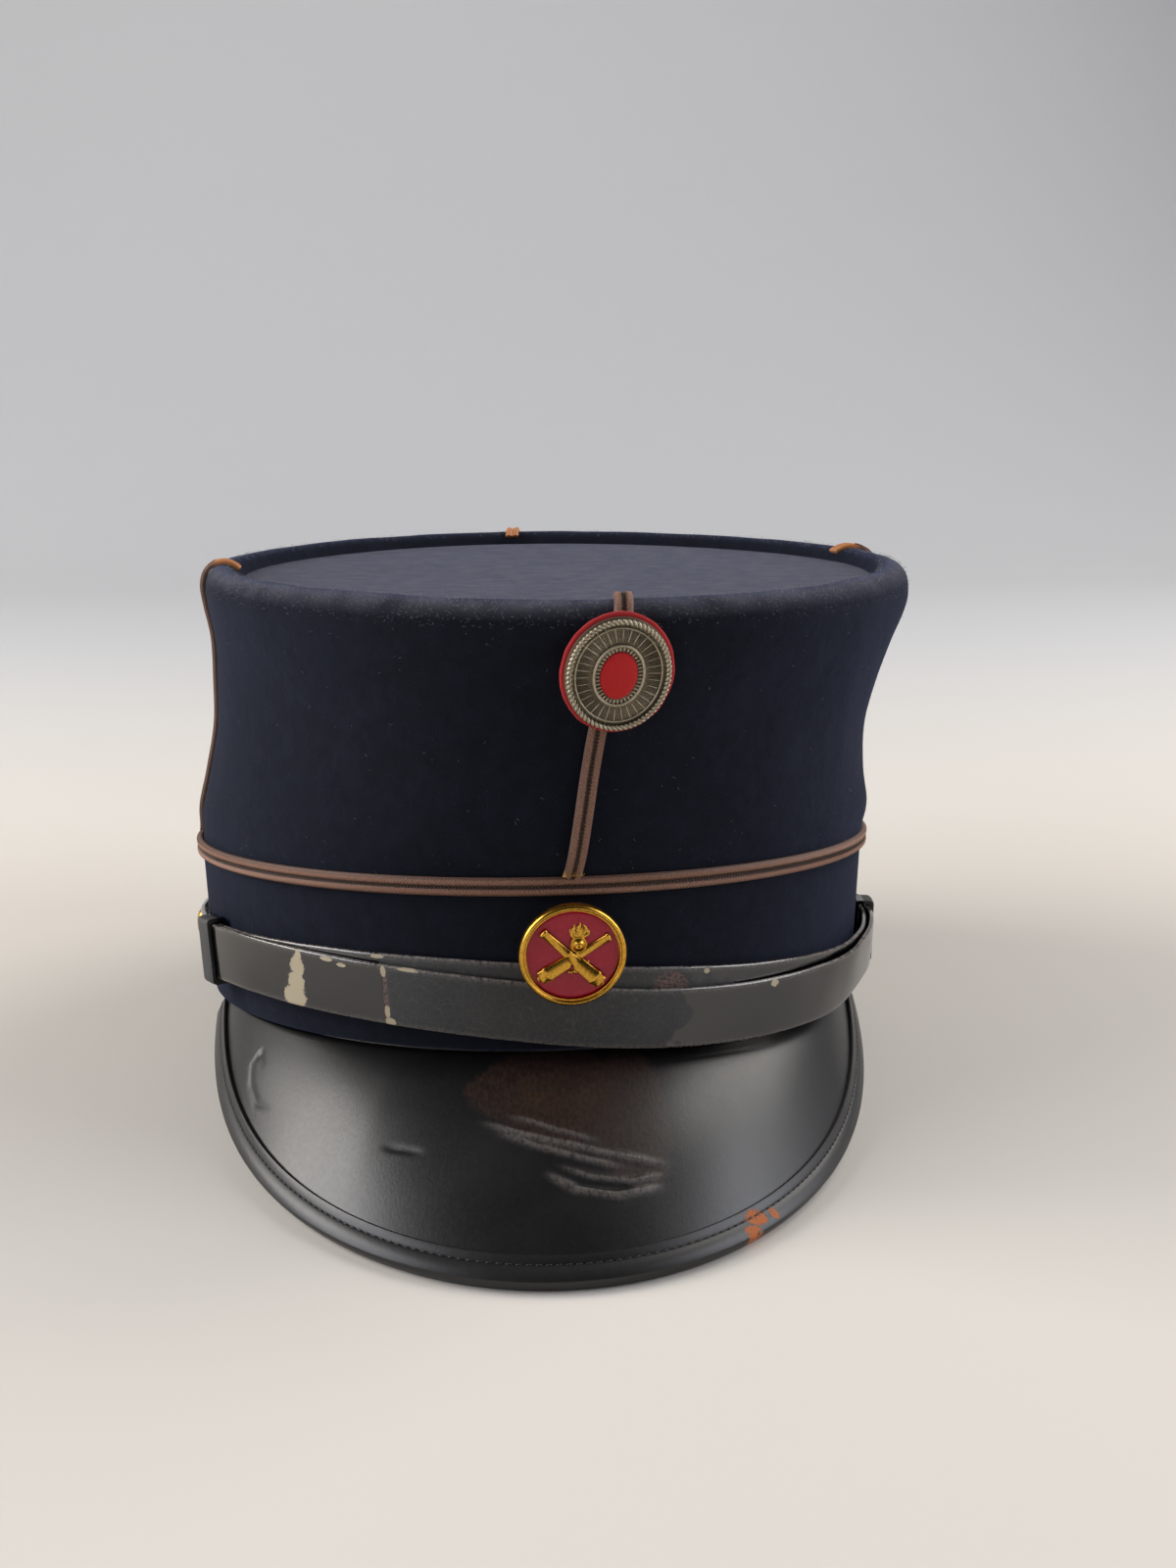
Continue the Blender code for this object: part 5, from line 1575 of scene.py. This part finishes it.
    def strap(self, name: str, table: Table, first: float, last: float, finish: Finish,
              *nodes: str) -> bpy.types.Object:
        """One strap with rounded, worn edges and a surface map in millimetres."""
        angle = np.linspace(min(first, last), max(first, last), 260)
        place, _, up, normal = self.course(table, angle)
        half = self.width / 2
        edge = rounded_box(-half, half, 0.0, self.thickness, self.corner)
        fill = np.linspace(half - self.corner, -half + self.corner, 15)[1:-1]
        front = [(across, self.thickness + self.swell * (1 - (across / half) ** 2)) for across in fill]
        section = np.concatenate([edge[:5], front, edge[5:]])
        loops = swept(place, up, normal, section)
        run = run_lengths(place)
        middle = float(np.interp(0.0, angle, run))
        uv = np.stack(np.broadcast_arrays((run - middle)[:, None], section[None, :, 0]), axis=-1)
        worn = np.clip((np.abs(section[:, 0]) - (half - 0.55)) / 0.4, 0.0, 1.0)
        marks = {"edge": np.repeat(worn[None, :], len(angle), axis=0)}
        loops += normal[:, None, :] * (grain(loops, 9.0, 4.0) * self.swell)[..., None]
        return self.add(Loft(name, loops, uv=uv, marks=marks), finish, "black_patent_leather", *nodes)

    def keeper(self, name: str, angle: float, *nodes: str) -> bpy.types.Object:
        """Leather loop round both straps."""
        sweep = self.keeper_width / 2 / self.shape.band_half_length * 180.0 / pi
        turns = np.linspace(angle - sweep, angle + sweep, 9)
        place, _, up, normal = self.course(self.inner_course, turns)
        outer = self.course(self.outer_course, turns)[0]
        half, clear, shells = self.width / 2, self.keeper_clear, []
        for wall in (self.keeper_thickness, 0.0):
            loops = []
            for index in range(len(turns)):
                step = outer[index] - place[index]
                shift, depth = float(step @ up[index]), float(step @ normal[index]) + self.thickness
                soft = 0.25 * abs(2 * index / (len(turns) - 1) - 1) ** 6 if wall else 0.0
                outline = rounded_box(min(0.0, shift) - half - clear - wall,
                                      max(0.0, shift) + half + clear + wall, -clear - wall * 0.8,
                                      depth + clear + wall - soft, self.corner + wall * 0.6)
                loops.append(place[index] + up[index] * outline[:, :1] + normal[index] * outline[:, 1:])
            shells.append(np.array(loops))
        loops = np.concatenate([shells[0], shells[1][::-1]])
        run = np.linspace(-self.keeper_width / 2, self.keeper_width / 2, len(turns))
        along = np.concatenate([run, run[::-1]])
        uv = np.stack(np.broadcast_arrays(along[:, None], np.linspace(0.0, 36.0, loops.shape[1])[None, :]),
                      axis=-1)
        return self.add(Loft(name, loops, ring=True, uv=uv), self.plain, "black_patent_leather", *nodes)

    def button(self, name: str, table: Table, angle: float, *nodes: str) -> bpy.types.Object:
        """Domed button on its shank."""
        place, side, up, normal = (part[0] for part in self.course(table, np.array([angle])))
        seat = self.thickness + 0.3
        radius, top = self.button_radius, seat + self.button_plate
        profile = [(1.3, -self.stand + 0.35), (1.3, seat), (radius - 0.4, seat), (radius - 0.05, seat + 0.15),
                   (radius, seat + 0.35), (radius - 0.1, top), (radius - 0.45, top + 0.05)]
        profile += [((radius - 0.6) * cos(turn), top + self.button_dome * 0.9 * sin(turn))
                    for turn in np.linspace(0.0, 1.5, 9)]
        turn = np.linspace(0.0, 2 * pi, 48, endpoint=False)[:, None]
        loops = np.stack([place + side * radius_at * np.cos(turn) + up * radius_at * np.sin(turn)
                          + normal * height for radius_at, height in profile])
        return self.add(Loft(name, loops), self.brass, "gilt_brass", *nodes)

    def build(self) -> None:
        """Make both straps, the keepers and the buttons."""
        beyond = 0.9 * self.keeper_width
        self.strap("patent_strap_back", self.inner_course, self.past(self.button_left_angle, self.end_reach),
                   self.past(self.keeper_right_angle, beyond), self.inner_leather, "chin_strap_inner")
        self.strap("patent_strap_front", self.outer_course, self.past(self.keeper_left_angle, beyond),
                   self.past(self.button_right_angle, self.end_reach), self.outer_leather,
                   "chin_strap_outer")
        self.keeper("patent_keeper_left", self.keeper_left_angle, "strap_keeper_left")
        self.keeper("patent_keeper_right", self.keeper_right_angle, "strap_keeper_right")
        self.button("gilt_button_left", self.inner_course, self.button_left_angle, "button_left")
        self.button("gilt_button_right", self.outer_course, self.button_right_angle, "button_right")


@dataclass(frozen=True)
class Crease:
    """Raised or pressed line of the peak: its course in the cap's X and Y, its height and half width."""
    line: tuple[tuple[float, float], ...]
    height: float
    width: float

    def lift(self, places: Points) -> Points:
        """Height that the crease adds at points, fading towards both of its ends."""
        course = np.array(self.line)
        total = np.zeros(places.shape[:-1])
        for index, (start, step) in enumerate(zip(course, np.diff(course, axis=0))):
            share = np.clip((places[..., :2] - start) @ step / (step @ step), 0.0, 1.0)
            away = np.linalg.norm(places[..., :2] - start - share[..., None] * step, axis=-1)
            along = (index + share) / (len(course) - 1)
            fade = np.minimum(1.0, 5.0 * np.minimum(along, 1.0 - along) + 0.1)
            total = np.maximum(total, fade * np.exp(-(away / self.width) ** 2))
        return self.height * total


@dataclass
class Peak(Assembly):
    """Sloping leather peak and the stitched binding folded over its edge."""
    half_width: float = 77.8
    reach: float = 135.8
    side_y: float = -22.0
    roundness: float = 2.02
    fan: float = 1.35
    wall_thickness: float = 2.2
    arch: float = 3.2
    tuck: float = 3.0
    gap: float = 0.3
    end_angle: float = 76.0
    cut_angle: float = 70.0
    binding_cut: float = 68.5
    binding_width: float = 4.6
    binding_thickness: float = 1.0
    creases: tuple[Crease, ...] = (
        Crease(((-14.5, -107.0), (-8.0, -110.2), (-1.7, -112.2), (9.8, -114.6), (21.5, -115.6)), 0.5, 0.6),
        Crease(((-12.0, -109.6), (-4.0, -113.3), (4.0, -115.6), (13.0, -117.3)), 0.42, 0.55),
        Crease(((-9.5, -106.2), (0.0, -110.0), (8.0, -112.2)), 0.35, 0.5),
        Crease(((-2.5, -118.6), (3.0, -121.6), (11.0, -122.4), (20.0, -119.8)), 0.6, 0.65),
        Crease(((0.0, -117.3), (6.0, -119.3), (14.0, -119.6), (20.5, -117.4)), 0.38, 0.5),
        Crease(((2.0, -120.2), (8.0, -121.0), (15.0, -120.6)), -0.3, 0.6),
        Crease(((-34.6, -106.4), (-27.2, -109.8)), -0.35, 0.6),
        Crease(((-63.4, -68.5), (-64.5, -63.8), (-66.6, -64.5), (-66.3, -69.5), (-64.3, -76.0),
                (-61.0, -80.5)), -0.35, 0.5))
    # places are the model's own X and Y in millimetres
    leather: Finish = PolishedLeather(
        "black_waxed_peak_leather",
        tinted=(Spot((12.0, -84.0), (9.0, 16.0), 0.6), Spot((-2.0, -80.0), (16.0, 12.0), 0.8)))
    edging: Finish = PolishedLeather(
        "black_edging_leather_strip", colour="#121111", rubbed="#1e1c1c", rough=0.38,
        tan=(Spot((36.0, -99.4), (2.6, 1.3), 0.8, 0.4), Spot((35.2, -102.3), (2.2, 1.2), 0.8, 0.4),
             Spot((40.0, -96.9), (1.2, 0.8), 0.7)))
    thread: Finish = Thread("black_waxed_thread", colour="#242223", rough=0.5)

    def edge(self, angle: float) -> Points:
        """Point of the peak's outer edge, in the middle of its wall."""
        left = max(1.0 - abs(angle) / self.end_angle, 0.0)
        turn = radians(90.0 * (1.0 - left ** self.fan)) * (1 if angle >= 0 else -1)
        across, ahead = sin(turn), max(cos(turn), 0.0)
        scale = (abs(across) ** self.roundness + ahead ** self.roundness) ** (-1.0 / self.roundness)
        root = self.root(self.end_angle)
        floor = self.binding_thickness + self.gap + self.wall_thickness / 2 - self.shape.rest_flat
        lift = (1.0 - ahead * scale) ** 2.6
        return np.array((self.half_width * across * scale,
                         self.side_y - (self.reach + self.side_y) * ahead * scale,
                         floor + (root[2] - floor) * lift))

    def root(self, angle: float) -> Points:
        """Point of the peak's inner edge, under the band's wall."""
        place = self.shape.ring(0, np.array([float(angle)]), -self.tuck)[0]
        return place - np.array((0.0, 0.0, self.gap + self.wall_thickness / 2))

    def point(self, angle: float, share: float) -> Points:
        """Point on the middle surface: share 0 at the band, 1 at the edge."""
        root, edge = self.root(angle), self.edge(angle)
        run = float(np.linalg.norm(edge - root))
        arch = self.arch * min(1.0, run / (self.reach - self.shape.band_half_length))
        return root + (edge - root) * share + np.array((0.0, 0.0, arch * sin(pi * share) * (1 - 0.3 * share)))

    def frame(self, angle: float, share: float) -> tuple[Points, Points]:
        """Point of the middle surface and its upper normal."""
        step = 0.01
        outward = self.point(angle, min(share + step, 1.0)) - self.point(angle, share - step)
        normal = unit(np.cross(self.point(angle + 0.5, share) - self.point(angle - 0.5, share), outward))
        return self.point(angle, share), normal if normal[2] > 0 else -normal

    def angles(self, limit: float, count: int) -> list[float]:
        """Angles along the peak, closer together near its ends."""
        return [limit * sin(radians(90.0 * (2.0 * step / count - 1.0))) for step in range(count + 1)]

    def sheet(self) -> bpy.types.Object:
        """Leather of the peak, with its soft swelling, creases and dents."""
        shares = np.linspace(0.0, 1.0, 97)
        loops = []
        for angle in self.angles(self.cut_angle, 300):
            upper, lower = [], []
            for index, share in enumerate(shares):
                place, normal = self.frame(angle, max(share, 0.01))
                if share == 0.0:
                    normal = np.array((0.0, 0.0, 1.0))
                upper.append(place + normal * self.wall_thickness / 2)
                if index % 6 == 0:
                    lower.append(place - normal * self.wall_thickness / 2)
            loops.append(upper + lower[::-1])
        shaped = np.array(loops)
        skin = shaped[:, :len(shares)]
        lift = grain(skin, 24.0, 6.0) * 0.35 * np.sin(pi * shares)[None, :]
        folded = sum(crease.lift(skin) for crease in self.creases)
        skin[..., 2] += lift + folded
        # the rubbed mark greys the crests of the raised creases: partly rubbed wear, partly painted highlight
        rubbed = np.zeros(shaped.shape[:2])
        rubbed[:, :len(shares)] = np.clip(folded / 0.4, 0.0, 1.0)
        return self.add(Loft("peak_leather", shaped, marks={"rubbed": rubbed}), self.leather,
                        "black_leather", "peak")

    def binding(self) -> None:
        """Strip folded over the edge, and the stitches that hold it."""
        half = self.wall_thickness / 2 + 0.12
        outer = self.wall_thickness / 2 + self.gap + self.binding_thickness
        loops, seam, facing = [], [], []
        for angle in self.angles(self.binding_cut, 170):
            place, normal = self.frame(angle, 1.0)
            outward = unit(np.cross(normal, self.edge(angle + 0.5) - self.edge(angle - 0.5)))
            if outward @ (place - self.root(0.0)) < 0:
                outward = -outward
            run = float((self.edge(angle) - self.root(angle)) @ outward)
            reach = min(self.binding_width, 0.8 * run)
            skin = outer - 0.45
            section = [(-reach, half), (-reach - 0.05, half + 0.35), (-reach + 0.25, skin),
                       (-0.62 * reach, skin), (-0.55 * reach, skin - 0.22), (-0.48 * reach, skin)]
            section += [(self.gap + 0.1 + self.binding_thickness * sin(turn), skin * cos(turn))
                        for turn in np.linspace(0.25, pi - 0.25, 11)]
            section += [(-0.5 * reach, -skin), (-reach, -skin), (-reach, -half), (self.gap, -half),
                        (self.gap, half)]
            loops.append([place + outward * across + normal * height for across, height in section])
            seam.append(place - outward * 0.55 * reach + normal * (skin - 0.1))
            facing.append(normal)
        shaped = np.array(loops)
        shaped[..., 2] = np.maximum(shaped[..., 2], 0.0)
        self.add(Loft("peak_edging", shaped), self.edging, "black_edging_leather", "peak_binding")
        row = StitchRow(spacing=1.9, length=1.35, width=0.38, height=0.34, slant=6.0, jitter=0.06)
        self.lay(row, "peak_edging_stitches", "black_edging_leather", self.thread, np.array(seam),
                 np.array(facing), False, 3)

    def build(self) -> None:
        """Make the leather and its binding."""
        self.sheet()
        self.binding()


# Studio

@dataclass
class Studio:
    """Paper sweep, soft lights and the camera at the photograph's angle. Sizes are in millimetres.

    Attributes:
        origin: Place of the cap's frame in the model's frame.
    """
    origin: tuple[float, float, float]
    camera_place: tuple[float, float, float] = (-14.76, -396.53, 166.17)
    camera_aim: tuple[float, float, float] = (0.0709, 0.9651, -0.2521)
    lens: float = 36.0
    room_dark: str = "#303236"
    room_pale: str = "#e9ecf2"
    room_strength: float = 0.88
    paper: Finish = Paper("studio_paper_painted_shade")
    # name, place and aim in metres, width and height in metres, watts, colour
    boxes: tuple[tuple[Any, ...], ...] = (
        ("box_high_left", (-1.3, 0.3, 0.75), (0.0, -0.02, 0.0), (0.6, 0.9), 14.0, "#fffaf2"),
        ("box_high_right", (0.85, 0.5, 1.0), (0.0, -0.02, 0.0), (0.6, 0.9), 8.0, "#fffaf2"),
        ("box_left", (-1.0, -0.25, 0.50), (0.0, 0.0, 0.06), (0.6, 0.8), 7.0, "#f4f6ff"),
        ("box_right", (1.0, -0.2, 0.55), (0.0, 0.0, 0.06), (0.6, 0.8), 7.0, "#f4f6ff"))

    def camera(self) -> None:
        """Camera of the photograph's own view."""
        data = bpy.data.cameras.new("studio_camera")
        data.lens, data.sensor_width = self.lens, 36.0
        data.clip_start, data.clip_end = 0.01, 20.0
        made = linked("studio_camera", data)
        made.location = (Vector(self.camera_place) + Vector(self.origin)) * MM
        made.rotation_mode = "QUATERNION"
        made.rotation_quaternion = Vector(self.camera_aim).to_track_quat("-Z", "Y")
        bpy.context.scene.camera = made

    def sweep(self) -> None:
        """Table and wall in one curved sheet."""
        back, bend, top, columns = 0.9, 0.5, 3.0, 7
        profile = [(-2.5, 0.0), (back, 0.0)]
        profile += [(back + bend * sin(turn), bend - bend * cos(turn))
                    for turn in np.linspace(0.15, pi / 2, 10)]
        profile.append((back + bend, top))
        places = [(x, y, z) for y, z in profile for x in np.linspace(-3.0, 3.0, columns)]
        corners = [row * columns + index for row in range(len(profile) - 1) for index in range(columns - 1)]
        faces = [(at, at + 1, at + 1 + columns, at + columns) for at in corners]
        mesh = bpy.data.meshes.new("studio_sweep")
        mesh.from_pydata(places, [], faces)
        mesh.shade_smooth()
        sheet = linked("studio_sweep", mesh)
        self.paper.dress(sheet)

    def light(self, name: str, place: Sequence[float], aim: Sequence[float], size: Sequence[float],
              power: float, colour: str) -> None:
        """One soft box.

        Args:
            name: Name of the light.
            place: Where it stands, in metres.
            aim: Point that it faces.
            size: Width and height in metres.
            power: Watts.
            colour: Its sRGB hex colour.
        """
        data = bpy.data.lights.new(name, "AREA")
        data.shape, data.size, data.size_y = "RECTANGLE", size[0], size[1]
        data.energy, data.color = power, srgb(colour)[:3]
        made = linked(name, data)
        made.location = place
        made.rotation_mode = "QUATERNION"
        made.rotation_quaternion = (Vector(aim) - Vector(place)).to_track_quat("-Z", "Y")

    def room(self) -> None:
        """Room light by direction: pale beside and behind the cap, dark behind the camera."""
        world = bpy.data.worlds.new("room_fill")
        world.use_nodes = True
        tree = world.node_tree
        tree.nodes.clear()
        way = add_node(tree, "ShaderNodeSeparateXYZ",
                       {0: add_node(tree, "ShaderNodeTexCoord").outputs["Generated"]})
        ahead = spread(tree, way.outputs["Y"], -0.75, 0.05)
        sides = spread(tree, combined(tree, "ABSOLUTE", way.outputs["X"], 0.0), 0.35, 0.8)
        overhead = combined(tree, "MULTIPLY", spread(tree, way.outputs["Z"], 0.3, 0.7),
                            spread(tree, sides, 1.0, 0.0))
        share = combined(tree, "MAXIMUM", ahead, combined(tree, "MULTIPLY", sides, 0.8))
        share = combined(tree, "MULTIPLY", share, combined(tree, "MULTIPLY_ADD", overhead, -0.85, 1.0))
        colour = blended(tree, share, srgb(self.room_dark), srgb(self.room_pale))
        fill = add_node(tree, "ShaderNodeBackground", {0: colour, 1: self.room_strength})
        add_node(tree, "ShaderNodeOutputWorld", {0: fill})
        bpy.context.scene.world = world

    def build(self) -> None:
        """Set up camera, sweep, lights and the room's fill."""
        self.camera()
        self.sweep()
        for name, place, aim, size, power, colour in self.boxes:
            self.light(name, place, aim, size, power, colour)
        self.room()
        settings = bpy.context.scene.view_settings
        settings.view_transform, settings.look = "Standard", "None"


# Main

def cap_origin() -> tuple[float, float, float]:
    """Place of the cap's frame in the model's frame, from the braid that lies level round its middle."""
    low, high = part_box("band_braid")
    middle = (low + high) / 2 / MM
    return (middle.x, middle.y, 0.0)


def plain(box: tuple[Vector, Vector]) -> list[list[float]]:
    """A box as plain lists of numbers."""
    return [[float(part) for part in corner] for corner in box]


def main() -> None:
    """Build every sub-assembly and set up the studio."""
    logging.basicConfig(level=logging.INFO, format="%(name)s %(message)s")
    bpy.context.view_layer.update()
    origin = cap_origin()
    LOG.info("cap frame at %.2f, %.2f mm", origin[0], origin[1])
    shape = CapShape(origin)
    Studio(origin).build()
    for assembly in (WoolBody(shape), Braiding(shape), Cockade(shape), Badge(shape), ChinStrap(shape),
                     Peak(shape)):
        assembly.build()


if __name__ == "__main__":
    main()
